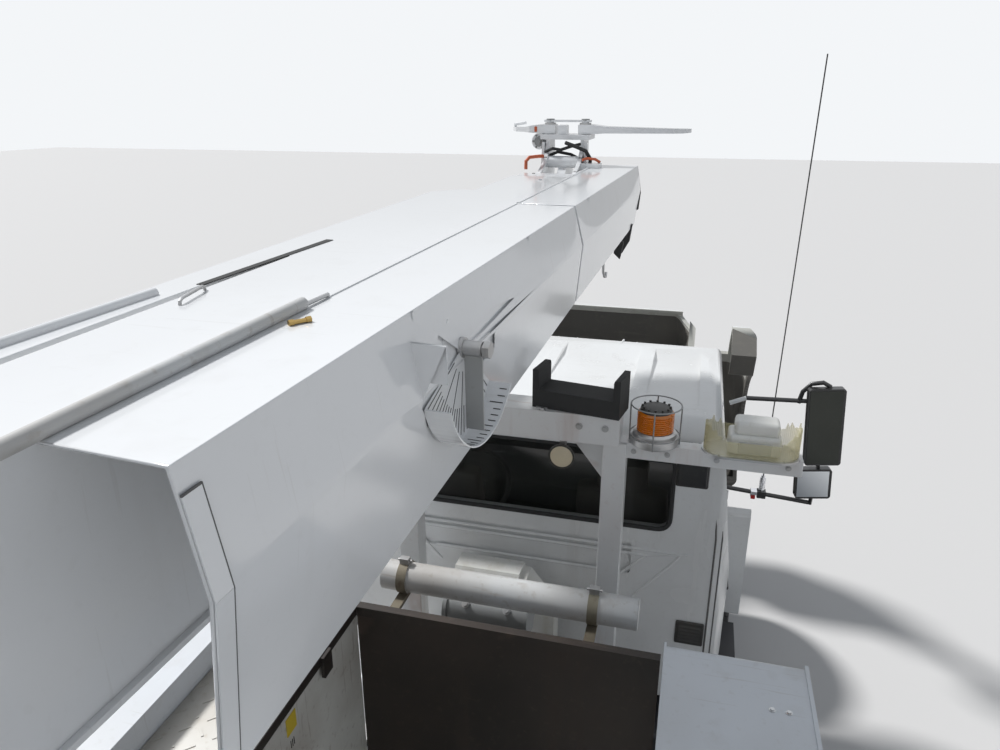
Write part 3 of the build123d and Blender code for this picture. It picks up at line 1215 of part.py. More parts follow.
def build():
    add("frame_rails", make_frame())
    for row, y in OUTRIGGER_ROWS:
        both("outrigger_leg_" + row, make_leg(y))
    add("front_axle", make_front_axle())
    add("rear_axle", make_rear_axle())
    both("knuckle", make_knuckle())
    both("front_wheel", make_front_wheel())
    both("rear_wheels", make_twin_wheel())
    engine, radiator = make_engine()
    add("engine_block", Compound([engine.solid(), radiator.solid()]))
    add("front_bumper", make_bumper())
    tank, box = make_side_boxes()
    add("side_tanks", Compound([tank.solid(), box.solid()]))
    shell, glass, door, door_glass = make_cab()
    add("cab_shell", shell)
    add("cab_glass", glass)
    mirror_arms = make_mirror()
    add("cab_door_right", door + mirror_arms + make_antenna())
    add("cab_door_left", mirrored(door + mirror_arms))
    both("door_glass", door_glass)
    seat_left, seat_right, dash = make_interior()
    add("cab_interior", Compound([seat_left.solid(), seat_right.solid(), dash.solid()]))
    add("hood", swing_open(make_hood()))
    both("side_bin", make_bin())
    for room in BIN_ROOMS:
        if room[0] != "middle":
            both("bin_door_" + room[0], make_bin_door(room))
    deck, tail = make_deck()
    add("body_deck", deck)
    add("rear_bumper", tail)
    add("hydraulic_tank", make_tank())
    add("bulkhead", make_bulkhead())
    add("rack", make_rack())
    add("saddle", make_saddle())
    beacon, bar, work = make_lamps()
    add("warning_lamps", Compound([beacon.solid(), bar.solid(), work.solid()]))
    add("pedestal", make_pedestal())
    add("turret", make_turret())
    barrel, piston = make_cylinder()
    add("lift_barrel", barrel)
    add("lift_rod", piston)
    add("lower_boom", make_lower_boom())
    add("mid_boom", make_mid_boom())
    add("tip_boom", make_tip_boom())
    add("shroud", make_shroud())
    add("winch_drum", make_winch())
    add("auger_drive", make_auger_drive())
    add("auger", make_auger())
    add("guide_arm_right", make_guide_arm(1))
    add("guide_arm_left", make_guide_arm(-1))


def write():
    os.makedirs("parts", exist_ok=True)
    for name, shape in parts.items():
        export_step(Pos(0, -MIDDLE_Y, 0) * shape, "parts/" + name + ".step")


if __name__ == "__main__":
    build()
    write()
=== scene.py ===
import json
import math
import random

import bmesh
import bpy
from bpy.props import FloatProperty, FloatVectorProperty, IntProperty, PointerProperty
from mathutils import Matrix, Vector

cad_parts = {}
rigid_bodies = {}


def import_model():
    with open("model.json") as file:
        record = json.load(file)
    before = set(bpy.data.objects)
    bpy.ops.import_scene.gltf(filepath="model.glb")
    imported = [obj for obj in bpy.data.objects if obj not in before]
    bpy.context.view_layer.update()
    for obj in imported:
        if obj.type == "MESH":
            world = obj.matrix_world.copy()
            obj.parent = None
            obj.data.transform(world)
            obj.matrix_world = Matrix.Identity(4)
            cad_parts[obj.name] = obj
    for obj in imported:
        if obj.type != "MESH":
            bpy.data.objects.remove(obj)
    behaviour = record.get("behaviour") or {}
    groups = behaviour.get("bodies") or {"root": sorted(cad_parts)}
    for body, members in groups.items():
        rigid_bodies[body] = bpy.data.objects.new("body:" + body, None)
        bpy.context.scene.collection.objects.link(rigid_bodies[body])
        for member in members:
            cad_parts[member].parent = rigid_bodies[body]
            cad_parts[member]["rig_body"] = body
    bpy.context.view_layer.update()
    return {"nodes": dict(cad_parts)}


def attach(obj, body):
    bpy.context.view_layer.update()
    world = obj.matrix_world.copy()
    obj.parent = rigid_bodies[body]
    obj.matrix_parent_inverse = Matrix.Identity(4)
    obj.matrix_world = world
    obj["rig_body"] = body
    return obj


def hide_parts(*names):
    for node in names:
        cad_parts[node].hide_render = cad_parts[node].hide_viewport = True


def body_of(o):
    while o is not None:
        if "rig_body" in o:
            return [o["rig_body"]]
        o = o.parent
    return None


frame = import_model()

bl_info = {
    "name": "Digger Derrick Truck",
    "version": (1, 0, 0),
    "blender": (4, 5, 0),
    "location": "3D View > Sidebar > Truck",
    "description": "Dresses the packed digger derrick truck with materials and small pieces",
    "category": "Object",
}

# The camera stands on the right side bin and looks forward, down and a little to the left.
CAMERA_PLACE = (0.7476, -1.8359, 3.9437)
CAMERA_DOWN = 20.015
CAMERA_LEFT = 14.92
CAMERA_LENS = 26.78
SENSOR_WIDTH = 36.0

# Where the main lamp shines from, and the colours of the floor, the fill light and the backdrop
SUN_WAY = (-0.95, 0.30, 1.05)
FLOOR_COLOUR = (0.62, 0.61, 0.60, 1)
SKY_COLOUR = (0.86, 0.92, 1.0, 1)
BACKDROP_COLOUR = (0.90, 0.92, 0.94, 1)
MIRRORED_LOW = (0.50, 0.50, 0.50, 1)
MIRRORED_HIGH = (0.92, 0.95, 0.99, 1)


# Node groups and materials
def node_group(name, inputs, outputs):
    """A shader node group from inputs (name, kind, default) and outputs (name, kind), with its end nodes."""
    tree = bpy.data.node_groups.new(name, "ShaderNodeTree")
    for label, kind, default in inputs:
        socket = tree.interface.new_socket(label, in_out="INPUT", socket_type=kind)
        if default is not None:
            socket.default_value = default
    for label, kind in outputs:
        tree.interface.new_socket(label, in_out="OUTPUT", socket_type=kind)
    return tree, tree.nodes.new("NodeGroupInput"), tree.nodes.new("NodeGroupOutput")


def feed(tree, node, links):
    """Feeds a node's inputs from (name or index of the input, socket or plain value)."""
    for target, source in links:
        if isinstance(source, bpy.types.NodeSocket):
            tree.links.new(source, node.inputs[target])
        else:
            node.inputs[target].default_value = source


def add_node(tree, kind, links=(), **values):
    """A new node, its own fields set from values and its inputs fed by links."""
    node = tree.nodes.new(kind)
    for key, value in values.items():
        setattr(node, key, value)
    feed(tree, node, links)
    return node


def noise(tree, vector, scale, detail):
    """A cloudy pattern of values round one half."""
    links = [("Vector", vector), ("Scale", scale), ("Detail", detail)]
    return add_node(tree, "ShaderNodeTexNoise", links).outputs[0]


def ramp(tree, source, low, high):
    """The source stretched so that low becomes 0 and high becomes 1, and cut off beyond them."""
    return add_node(tree, "ShaderNodeMapRange", [(0, source), (1, low), (2, high)], clamp=True).outputs[0]


def mix_colour(tree, share, first, second):
    """The first colour, with that share of the second over it."""
    return add_node(tree, "ShaderNodeMix", [(0, share), (6, first), (7, second)], data_type="RGBA").outputs[2]


def maths(tree, operation, first, second):
    """The result of a sum, product or the like of two values."""
    return add_node(tree, "ShaderNodeMath", [(0, first), (1, second)], operation=operation).outputs[0]


def make_weather_group():
    """Dust, spots, streaked stains and scratches over any paint, as one group with named inputs."""
    tree, given, result = node_group("Weather", [
        ("Vector", "NodeSocketVector", None), ("Paint", "NodeSocketColor", (0.8, 0.8, 0.8, 1)),
        ("Dirt", "NodeSocketColor", (0.3, 0.26, 0.2, 1)), ("Dust", "NodeSocketFloat", 0.3),
        ("Stains", "NodeSocketFloat", 0.3), ("Scratches", "NodeSocketFloat", 0.2),
        ("Smoothness", "NodeSocketFloat", 0.3),
    ], [("Color", "NodeSocketColor"), ("Roughness", "NodeSocketFloat"), ("Height", "NodeSocketFloat")])
    vector = given.outputs["Vector"]
    broad = noise(tree, vector, 1.7, 6.0)
    fine = noise(tree, vector, 38.0, 5.0)
    streak_place = add_node(tree, "ShaderNodeMapping", [("Vector", vector), ("Scale", (9.0, 9.0, 0.9))])
    streak = noise(tree, streak_place.outputs[0], 1.0, 5.0)
    line_place = add_node(tree, "ShaderNodeMapping", [
        ("Vector", vector), ("Rotation", (0.4, 0.7, 0.3)), ("Scale", (3.0, 60.0, 3.0))])
    line = noise(tree, line_place.outputs[0], 1.0, 3.0)
    dust = maths(tree, "MULTIPLY", ramp(tree, broad, 0.42, 0.72), given.outputs["Dust"])
    spots = maths(tree, "MULTIPLY", ramp(tree, fine, 0.60, 0.70), given.outputs["Dust"])
    stains = maths(tree, "MULTIPLY", ramp(tree, streak, 0.58, 0.75), given.outputs["Stains"])
    scratches = maths(tree, "MULTIPLY", ramp(tree, line, 0.66, 0.70), given.outputs["Scratches"])
    dull = mix_colour(tree, dust, given.outputs["Paint"], given.outputs["Dirt"])
    marked = mix_colour(tree, maths(tree, "MULTIPLY", spots, 0.5), dull, given.outputs["Dirt"])
    stained = mix_colour(tree, stains, marked, given.outputs["Dirt"])
    worn = mix_colour(tree, scratches, stained, given.outputs["Dirt"])
    rough = maths(tree, "ADD", maths(tree, "MULTIPLY", maths(tree, "ADD", dust, stains), 0.35),
                  given.outputs["Smoothness"])
    height = maths(tree, "SUBTRACT", maths(tree, "MULTIPLY", fine, 0.3), scratches)
    feed(tree, result, [("Color", worn), ("Roughness", rough), ("Height", height)])


def new_material(name):
    """A new material, its node tree, its shader and the object coordinates that its patterns read."""
    material = bpy.data.materials.new(name)
    material.use_nodes = True
    tree = material.node_tree
    place = add_node(tree, "ShaderNodeTexCoord").outputs["Object"]
    return material, tree, tree.nodes["Principled BSDF"], place


def weathered(name, colour, dirt, dust, stains, scratches, smoothness, metallic, coat, bump):
    """A paint, metal, rubber or cloth with the marks of years of work outdoors."""
    material, tree, shader, place = new_material(name)
    group = add_node(tree, "ShaderNodeGroup", [
        ("Vector", place), ("Paint", (*colour, 1)), ("Dirt", (*dirt, 1)), ("Dust", dust), ("Stains", stains),
        ("Scratches", scratches), ("Smoothness", smoothness)], node_tree=bpy.data.node_groups["Weather"])
    relief = add_node(tree, "ShaderNodeBump", [
        ("Height", group.outputs["Height"]), ("Strength", bump), ("Distance", 0.002)])
    feed(tree, shader, [
        ("Base Color", group.outputs["Color"]), ("Roughness", group.outputs["Roughness"]),
        ("Metallic", metallic), ("Coat Weight", coat), ("Coat Roughness", 0.08),
        ("Normal", relief.outputs["Normal"])])
    return material


PAINTS = (
    # name, colour, dirt, dust, stains, scratches, smoothness, metallic, coat, bump
    ("boom_white", (0.84, 0.85, 0.86), (0.50, 0.47, 0.42), 0.08, 0.08, 0.10, 0.16, 0.0, 0.6, 0.03),
    ("cab_white", (0.78, 0.79, 0.79), (0.42, 0.39, 0.34), 0.18, 0.15, 0.10, 0.22, 0.0, 0.5, 0.03),
    ("body_white", (0.72, 0.75, 0.79), (0.40, 0.37, 0.32), 0.22, 0.2, 0.20, 0.30, 0.0, 0.25, 0.05),
    ("rack_white", (0.76, 0.77, 0.77), (0.34, 0.15, 0.07), 0.15, 0.3, 0.3, 0.3, 0.0, 0.3, 0.06),
    ("stained_white", (0.68, 0.67, 0.62), (0.16, 0.09, 0.05), 0.5, 0.8, 0.35, 0.4, 0.0, 0.1, 0.1),
    ("pipe_white", (0.62, 0.63, 0.63), (0.27, 0.21, 0.15), 0.5, 0.4, 0.3, 0.35, 0.0, 0.2, 0.05),
    ("strap_steel", (0.27, 0.26, 0.20), (0.12, 0.08, 0.05), 0.8, 0.6, 0.3, 0.5, 0.4, 0.0, 0.15),
    ("chassis_black", (0.035, 0.035, 0.038), (0.16, 0.13, 0.10), 0.6, 0.5, 0.2, 0.5, 0.0, 0.0, 0.15),
    ("dark_steel", (0.026, 0.021, 0.018), (0.065, 0.047, 0.037), 0.6, 0.5, 0.9, 0.40, 0.2, 0.0, 0.2),
    ("tank_metal", (0.55, 0.56, 0.57), (0.25, 0.22, 0.18), 0.4, 0.4, 0.3, 0.32, 0.9, 0.0, 0.1),
    ("tread_metal", (0.50, 0.50, 0.48), (0.28, 0.22, 0.16), 0.5, 0.3, 0.3, 0.4, 0.6, 0.0, 0.1),
    ("machine_grey", (0.30, 0.31, 0.31), (0.10, 0.08, 0.06), 0.5, 0.6, 0.3, 0.42, 0.3, 0.0, 0.15),
    ("plate_grey", (0.42, 0.43, 0.43), (0.20, 0.18, 0.15), 0.4, 0.4, 0.3, 0.38, 0.3, 0.0, 0.08),
    ("auger_steel", (0.30, 0.26, 0.22), (0.18, 0.10, 0.05), 0.7, 0.5, 0.5, 0.45, 0.7, 0.0, 0.2),
    ("rod_chrome", (0.75, 0.76, 0.78), (0.40, 0.38, 0.36), 0.1, 0.1, 0.1, 0.08, 1.0, 0.0, 0.02),
    ("zinc", (0.52, 0.53, 0.54), (0.24, 0.19, 0.14), 0.4, 0.3, 0.2, 0.36, 0.85, 0.0, 0.05),
    ("brass", (0.50, 0.34, 0.12), (0.20, 0.14, 0.06), 0.4, 0.2, 0.2, 0.3, 0.9, 0.0, 0.05),
    ("tyre_rubber", (0.030, 0.030, 0.031), (0.15, 0.13, 0.11), 0.7, 0.3, 0.1, 0.65, 0.0, 0.0, 0.2),
    ("black_rubber", (0.018, 0.018, 0.019), (0.08, 0.075, 0.07), 0.4, 0.2, 0.3, 0.55, 0.0, 0.0, 0.2),
    ("rim_white", (0.68, 0.68, 0.67), (0.24, 0.18, 0.13), 0.5, 0.4, 0.2, 0.35, 0.0, 0.2, 0.05),
    ("trim_grey", (0.10, 0.10, 0.105), (0.18, 0.17, 0.15), 0.3, 0.1, 0.1, 0.6, 0.0, 0.0, 0.2),
    ("grille_black", (0.022, 0.022, 0.023), (0.12, 0.11, 0.09), 0.4, 0.2, 0.2, 0.42, 0.0, 0.0, 0.05),
    ("mirror_black", (0.016, 0.016, 0.017), (0.10, 0.095, 0.085), 0.25, 0.15, 0.15, 0.32, 0.0, 0.3, 0.04),
    ("mark_black", (0.02, 0.02, 0.02), (0.10, 0.10, 0.09), 0.2, 0.1, 0.1, 0.5, 0.0, 0.0, 0.02),
    ("seam_dark", (0.10, 0.10, 0.10), (0.2, 0.19, 0.17), 0.4, 0.2, 0.1, 0.6, 0.0, 0.0, 0.02),
    ("hood_lining", (0.11, 0.105, 0.095), (0.22, 0.20, 0.17), 0.4, 0.2, 0.2, 0.6, 0.0, 0.0, 0.1),
    ("liner_edge", (0.52, 0.52, 0.48), (0.24, 0.22, 0.19), 0.5, 0.3, 0.2, 0.55, 0.0, 0.0, 0.05),
    ("headliner", (0.36, 0.46, 0.40), (0.22, 0.26, 0.23), 0.3, 0.1, 0.0, 0.8, 0.0, 0.0, 0.1),
    ("seat_cloth", (0.15, 0.14, 0.13), (0.24, 0.22, 0.20), 0.3, 0.1, 0.0, 0.85, 0.0, 0.0, 0.3),
    ("hose_orange", (0.62, 0.11, 0.03), (0.25, 0.10, 0.05), 0.3, 0.2, 0.2, 0.35, 0.0, 0.2, 0.05),
    ("rope_grey", (0.36, 0.35, 0.32), (0.16, 0.14, 0.11), 0.5, 0.3, 0.2, 0.7, 0.0, 0.0, 0.2),
    ("lamp_white", (0.80, 0.80, 0.77), (0.45, 0.40, 0.28), 0.4, 0.3, 0.1, 0.3, 0.0, 0.3, 0.05),
    ("lamp_core", (0.80, 0.74, 0.50), (0.45, 0.40, 0.28), 0.2, 0.1, 0.1, 0.3, 0.2, 0.2, 0.05),
    ("plate_yellow", (0.72, 0.52, 0.03), (0.30, 0.24, 0.12), 0.3, 0.2, 0.2, 0.4, 0.0, 0.2, 0.03),
    ("mirror_glass", (0.70, 0.73, 0.76), (0.5, 0.5, 0.48), 0.15, 0.1, 0.0, 0.03, 1.0, 0.0, 0.0),
    # Upper mirror glass: a near-black metal whose darkness is a painted reflection of dark surroundings
    ("mirror_painted_dark_reflection", (0.045, 0.048, 0.044), (0.12, 0.12, 0.11), 0.15, 0.1, 0.0, 0.05, 1.0, 0.0, 0.0),
)

LENSES = (
    # name, colour, roughness, transmission, alpha
    ("tinted_window", (0.014, 0.016, 0.013), 0.03, 0.0, 0.28),
    ("lens_amber", (0.92, 0.26, 0.01), 0.12, 0.35, 1.0),
    ("lens_yellowed", (0.76, 0.70, 0.42), 0.10, 0.0, 0.32),
    ("lens_beige", (0.72, 0.62, 0.44), 0.25, 0.1, 1.0),
    ("lens_red", (0.60, 0.02, 0.015), 0.15, 0.4, 1.0),
    ("lens_clear", (0.75, 0.77, 0.78), 0.04, 0.0, 0.35),
)


def lens_material(name, colour, roughness, transmission, alpha):
    """Glass or clear plastic with a little dust on it."""
    material, tree, shader, place = new_material(name)
    dust = ramp(tree, noise(tree, place, 6.0, 4.0), 0.58, 1.6)
    feed(tree, shader, [
        ("Base Color", mix_colour(tree, dust, (*colour, 1), (0.4, 0.4, 0.37, 1))), ("Roughness", roughness),
        ("Transmission Weight", transmission), ("Alpha", alpha),
        ("Specular IOR Level", 0.4 if alpha < 1 else 0.5)])
    return material


def paint(name):
    """The finish of that name, made at its first use."""
    found = bpy.data.materials.get(name)
    if found:
        return found
    for row in LENSES:
        if row[0] == name:
            return lens_material(*row)
    row = list(next(r for r in PAINTS if r[0] == name))
    # A user's colours and dirt go over the row's own.
    settings = bpy.context.scene.truck_finish
    row[1] = {"boom_white": settings.boom_colour, "cab_white": settings.cab_colour,
              "body_white": settings.body_colour}.get(name, row[1])
    row[3] *= settings.dirt
    row[4] *= settings.dirt
    return weathered(*row)


def dress(node, name):
    """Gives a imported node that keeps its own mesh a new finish."""
    thing = frame["nodes"][node]
    thing.data.materials.clear()
    thing.data.materials.append(paint(name))


# Mesh building. Numbers are millimetres as in the part's source: Y from the rear axle, Z from the ground.
# MIDDLE_Y is the middle of the whole length, where the finished truck has its origin.
MIDDLE_Y = 2143.5
FRONT_AXLE = 5330
REAR_AXLE = 0
AXLE_HEIGHT = 520
BOOM_PIVOT = Vector((-492.1, -1749.1, 3050))
HOOD_HINGE = Vector((0, 6280, 820))
LINER_EDGE_Y = 5235
# Lamps on the rack's arm, the gauge's pivot on the boom, and the tube holder with its two straps
LAMP_BASE = 2595
LAMP_Y = 3250
BEACON_X = 640
LIGHT_BAR_X = 1030
GAUGE_PIVOT = (3740, 200)
TUBE_Y, TUBE_Z = 2750, 2090
STRAP_PLACES = (-310, 478)

# Places of the truck, of the boom (turned a little to the right and raised) and of the hood (built shut)
TRUCK = Matrix.Scale(0.001, 4) @ Matrix.Translation((0, -MIDDLE_Y, 0))
BOOM = (TRUCK @ Matrix.Translation(BOOM_PIVOT) @ Matrix.Rotation(math.radians(-4.85), 4, "Z")
        @ Matrix.Rotation(math.radians(2.2), 4, "X"))
HOOD = (TRUCK @ Matrix.Translation(HOOD_HINGE) @ Matrix.Rotation(math.radians(-60), 4, "X")
        @ Matrix.Translation(-HOOD_HINGE))


def turns(count, shift=0):
    """The angles of so many even steps round a circle."""
    return [math.tau * (i + shift) / count for i in range(count)]


class Piece:
    """A mesh under construction, whose faces take the finish that is current when they are made."""

    def __init__(self, finishes, place=TRUCK):
        self.mesh = bmesh.new()
        self.scratch = bpy.data.meshes.new("scratch")
        self.finishes = finishes
        self.place = place
        self.slot = 0

    def use(self, finish):
        """Makes one of the piece's finishes the current one. The first is current from the start."""
        self.slot = self.finishes.index(finish)

    def add(self, part):
        """Joins a part to the piece, in the current finish."""
        for face in part.faces:
            face.material_index = self.slot
        part.to_mesh(self.scratch)
        part.free()
        self.mesh.from_mesh(self.scratch)

    def hull(self, low_ring, high_ring):
        """A solid whose ends are two rings of as many points."""
        part = bmesh.new()
        base = part.faces.new([part.verts.new(p) for p in low_ring])
        place_of = {tuple(round(c, 3) for c in v.co): p for v, p in zip(base.verts, high_ring)}
        moved = bmesh.ops.extrude_face_region(part, geom=[base], use_keep_orig=True)["geom"]
        for vert in moved:
            if isinstance(vert, bmesh.types.BMVert):
                vert.co = Vector(place_of[tuple(round(c, 3) for c in vert.co)])
        self.add(part)

    def box(self, low, high, bevel=0.0, turn=None):
        """A block between two corners, with rounded edges, turned about its middle."""
        part = bmesh.new()
        size = Matrix.Diagonal((high[0] - low[0], high[1] - low[1], high[2] - low[2], 1))
        middle = Matrix.Translation([(a + b) / 2 for a, b in zip(low, high)])
        bmesh.ops.create_cube(part, size=1.0, matrix=middle @ (turn or Matrix()) @ size)
        if bevel:
            segments = 3 if bevel > 10 else 2
            bmesh.ops.bevel(part, geom=part.edges[:], offset=bevel, segments=segments, profile=0.5,
                            affect="EDGES", clamp_overlap=True, material=-1)
        self.add(part)

    def side_box(self, side, low, high, bevel=0.0):
        """A block given for the right side, and mirrored to the left where side is -1."""
        x0, x1 = sorted((side * low[0], side * high[0]))
        self.box((x0, *low[1:]), (x1, *high[1:]), bevel)

    def rod(self, start, end, radius, sides=24, turn=0.0):
        """A round bar between two points, its sides turned about its length."""
        start, end = Vector(start), Vector(end)
        way = end - start
        place = (Matrix.Translation((start + end) / 2) @ way.to_track_quat("Z", "Y").to_matrix().to_4x4()
                 @ Matrix.Rotation(turn, 4, "Z"))
        part = bmesh.new()
        bmesh.ops.create_cone(part, cap_ends=True, segments=sides, radius1=radius, radius2=radius,
                              depth=way.length, matrix=place)
        self.add(part)

    def prism(self, outline, axis, low, high):
        """An outline in the two other axes, in the order X, Y, Z, pulled along the axis from low to high."""
        def point(pair, level):
            spot = list(pair)
            spot.insert(axis, level)
            return spot
        self.hull([point(p, low) for p in outline], [point(p, high) for p in outline])

    def pipe(self, points, radius, sides=10):
        """A round bar along a line of points, closed at both ends."""
        points = [Vector(p) for p in points]
        last = len(points) - 1
        ways = [(points[min(i + 1, last)] - points[max(i - 1, 0)]).normalized()
                for i in range(last + 1)]
        start = Matrix.Translation(points[0]) @ ways[0].to_track_quat("Z", "Y").to_matrix().to_4x4()
        part = bmesh.new()
        bmesh.ops.create_circle(part, cap_ends=True, segments=sides, radius=radius, matrix=start)
        face = part.faces[:][0]
        for i in range(1, last + 1):
            moved = bmesh.ops.extrude_face_region(part, geom=[face], use_keep_orig=True)["geom"]
            if i > 1:
                bmesh.ops.delete(part, geom=[face], context="FACES_ONLY")
            face = next(f for f in moved if isinstance(f, bmesh.types.BMFace))
            swing = ways[i - 1].rotation_difference(ways[i]).to_matrix().to_4x4()
            place = Matrix.Translation(points[i]) @ swing @ Matrix.Translation(-points[i - 1])
            bmesh.ops.transform(part, matrix=place, verts=list(face.verts))
        self.add(part)

    def turned(self, profile, origin, sides=72, axis=0):
        """A closed (along, radius) profile turned about a line through origin, along X, Y or Z."""
        part = bmesh.new()
        other = 1 if axis != 1 else 0
        ring = []
        for along, radius in profile:
            spot = Vector(origin)
            spot[axis] += along
            spot[other] += radius
            ring.append(part.verts.new(spot))
        edges = [part.edges.new((ring[i - 1], ring[i])) for i in range(len(ring))]
        way = Vector([1.0 if i == axis else 0.0 for i in range(3)])
        bmesh.ops.spin(part, geom=ring + edges, cent=origin, axis=way, angle=math.tau, steps=sides,
                       use_merge=True)
        self.add(part)

    def bolt(self, point, way, radius=9, height=7):
        """A bolt head on its washer, standing out from the point."""
        point, way = Vector(point), Vector(way).normalized()
        self.rod(point - way, point + way * 2, radius * 1.5, sides=16)
        self.rod(point + way, point + way * height, radius, sides=6)

    def done(self, name, body, replaces=(), sharp=35):
        """Turns the faces outwards, puts the mesh in its place and makes the piece's object."""
        bpy.data.meshes.remove(self.scratch)
        bmesh.ops.recalc_face_normals(self.mesh, faces=self.mesh.faces)
        self.mesh.transform(self.place)
        return finished(self.mesh, name, body, self.finishes, replaces, sharp)


def finished(made, name, body, finishes, replaces=(), sharp=35):
    """The object of a mesh, with its finishes and sharp edges, riding on its body."""
    mesh = bpy.data.meshes.new(name)
    made.to_mesh(mesh)
    made.free()
    for finish in finishes:
        mesh.materials.append(paint(finish))
    mesh.polygons.foreach_set("use_smooth", [True] * len(mesh.polygons))
    mesh.set_sharp_from_angle(angle=math.radians(sharp))
    thing = bpy.data.objects.new(name, mesh)
    bpy.context.scene.collection.objects.link(thing)
    # Large flat faces keep their own normal, so that panels stay flat between rounded edges.
    flat = thing.modifiers.new("flat panels", "WEIGHTED_NORMAL")
    flat.keep_sharp = True
    flat.mode = "FACE_AREA"
    flat.weight = 90
    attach(thing, body)
    if replaces:
        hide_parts(*replaces)
    return thing


def skin(node, finishes, rule=None, bevel=0.0, cut=None):
    """A merged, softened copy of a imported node.

    rule(centre, normal) names a face's finish, or gives None to leave it out. cut is a point and a normal of
    a plane that parts the faces first.
    """
    source = frame["nodes"][node]
    made = bmesh.new()
    made.from_mesh(source.data)
    made.transform(source.matrix_world)
    bmesh.ops.remove_doubles(made, verts=made.verts, dist=0.00002)
    bmesh.ops.dissolve_degenerate(made, dist=0.00001, edges=made.edges)
    if cut:
        whole = made.verts[:] + made.edges[:] + made.faces[:]
        bmesh.ops.bisect_plane(made, geom=whole, dist=0.00001, plane_co=cut[0], plane_no=cut[1])
    if rule:
        back = TRUCK.inverted()
        left_out = []
        for face in made.faces:
            finish = rule(back @ face.calc_center_median(), face.normal)
            if finish is None:
                left_out.append(face)
            else:
                face.material_index = finishes.index(finish)
        if left_out:
            bmesh.ops.delete(made, geom=left_out, context="FACES")
            bmesh.ops.holes_fill(made, edges=[e for e in made.edges if e.is_boundary], sides=0)
    bmesh.ops.dissolve_limit(made, angle_limit=math.radians(0.4), verts=made.verts, edges=made.edges,
                             delimit={"MATERIAL"})
    bmesh.ops.recalc_face_normals(made, faces=made.faces)
    if bevel:
        sharp = [e for e in made.edges if e.is_manifold and e.calc_face_angle(0) > math.radians(35)
                 and e.calc_length() > 12 * bevel]
        bmesh.ops.bevel(made, geom=sharp, offset=bevel, segments=2, profile=0.5, affect="EDGES",
                        clamp_overlap=False, material=-1)
    body = body_of(source)[0]
    return finished(made, node + "_skin", body, finishes, (node,))


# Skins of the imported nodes
def skin_chassis():
    """Frame, axles and bumpers, the legs with their grey feet, the engine and the tanks."""
    for node in ("frame_rails", "front_axle", "rear_axle", "knuckle_left", "knuckle_right", "front_bumper",
                 "rear_bumper"):
        skin(node, ["chassis_black"])
    for row in ("rear", "front"):
        for side in ("right", "left"):
            skin("outrigger_leg_%s_%s" % (row, side), ["body_white", "machine_grey"],
                 lambda spot, way: "machine_grey" if spot.z < 330 else "body_white")
    skin("engine_block", ["machine_grey", "black_rubber"],
         lambda spot, way: "black_rubber" if spot.y > 5885 else "machine_grey")
    skin("side_tanks", ["tank_metal", "chassis_black"],
         lambda spot, way: "chassis_black" if spot.x > 0 else "tank_metal")


def skin_body():
    """Deck, tank, bins and doors, the bulkhead with its tube, the rack and the saddle block."""
    skin("body_deck", ["body_white", "tread_metal"],
         lambda spot, way: "tread_metal" if way.z > 0.9 and spot.z > 1100 else "body_white")
    skin("hydraulic_tank", ["stained_white"])
    for side in ("right", "left"):
        skin("side_bin_" + side, ["body_white"], bevel=0.003)
        for row in ("rear", "front"):
            skin("bin_door_%s_%s" % (row, side), ["body_white"])
    skin("bulkhead", ["dark_steel", "pipe_white", "strap_steel"], bulkhead_finish)
    skin("rack", ["rack_white"], bevel=0.003)
    skin("saddle", ["black_rubber"], bevel=0.0012)


def bulkhead_finish(spot, way):
    """Dark steel for the bulkhead, and pale paint for the tube, with a steel strap at each end."""
    if spot.y < 2540:
        return "dark_steel"
    radius = math.hypot(spot.y - TUBE_Y, spot.z - TUBE_Z)
    strap = any(abs(spot.x - x) < 21 for x in STRAP_PLACES)
    return "strap_steel" if strap and (radius > 64 or spot.z < 2025) else "pipe_white"


def hood_finish(spot, way):
    """Paint outside and dark moulding inside, with a pale band along the rear edge and a black grille."""
    closed = HOOD.inverted() @ TRUCK @ spot
    turned = HOOD.to_3x3().inverted() @ TRUCK.to_3x3() @ way
    if abs(closed.x) < 430 and closed.y > 6215 and 880 < closed.z < 1350:
        return "grille_black"
    outward = turned.x * math.copysign(1, closed.x)
    if outward > 0.45 or turned.z > 0.35 or (turned.y > 0.5 and closed.y > 6100):
        return "cab_white"
    return "liner_edge" if closed.y < LINER_EDGE_Y and closed.z > 1180 else "hood_lining"


def cab_finish(spot, way):
    """Paint outside, a pale green lining along the roof inside, and grey walls and floor."""
    if abs(spot.x) > 1035 or not 3552 < spot.y < 5125 or not 975 < spot.z < 2550:
        return "cab_white"
    inward = Vector((0, 4300, 1800)) - spot
    if way.dot(inward.normalized()) < 0.3 or (abs(spot.x) > 985 and abs(way.x) < 0.5):
        return "cab_white"
    return "trim_grey" if way.z > 0.7 or spot.z < 2300 else "headliner"


def door_finish(spot, way):
    """Paint for the door, black for the mirrors and their arms, and bright metal for the foot of the whip."""
    if abs(spot.x) < 1072 or spot.z < 1600:
        return "cab_white"
    if 1225 < spot.x < 1300 and 4500 < spot.y < 4680 and 1742 < spot.z < 1832:
        return "rod_chrome"
    return "mirror_black"


def skin_cab():
    """Cab, open hood and doors."""
    skin("cab_shell", ["cab_white", "headliner", "trim_grey"], cab_finish)
    lining_edge = (HOOD @ Vector((0, LINER_EDGE_Y, 0)), HOOD.to_3x3() @ Vector((0, 1, 0)))
    skin("hood", ["cab_white", "hood_lining", "grille_black", "liner_edge"], hood_finish, cut=lining_edge)
    for side in ("right", "left"):
        skin("cab_door_" + side, ["cab_white", "mirror_black", "rod_chrome"], door_finish)


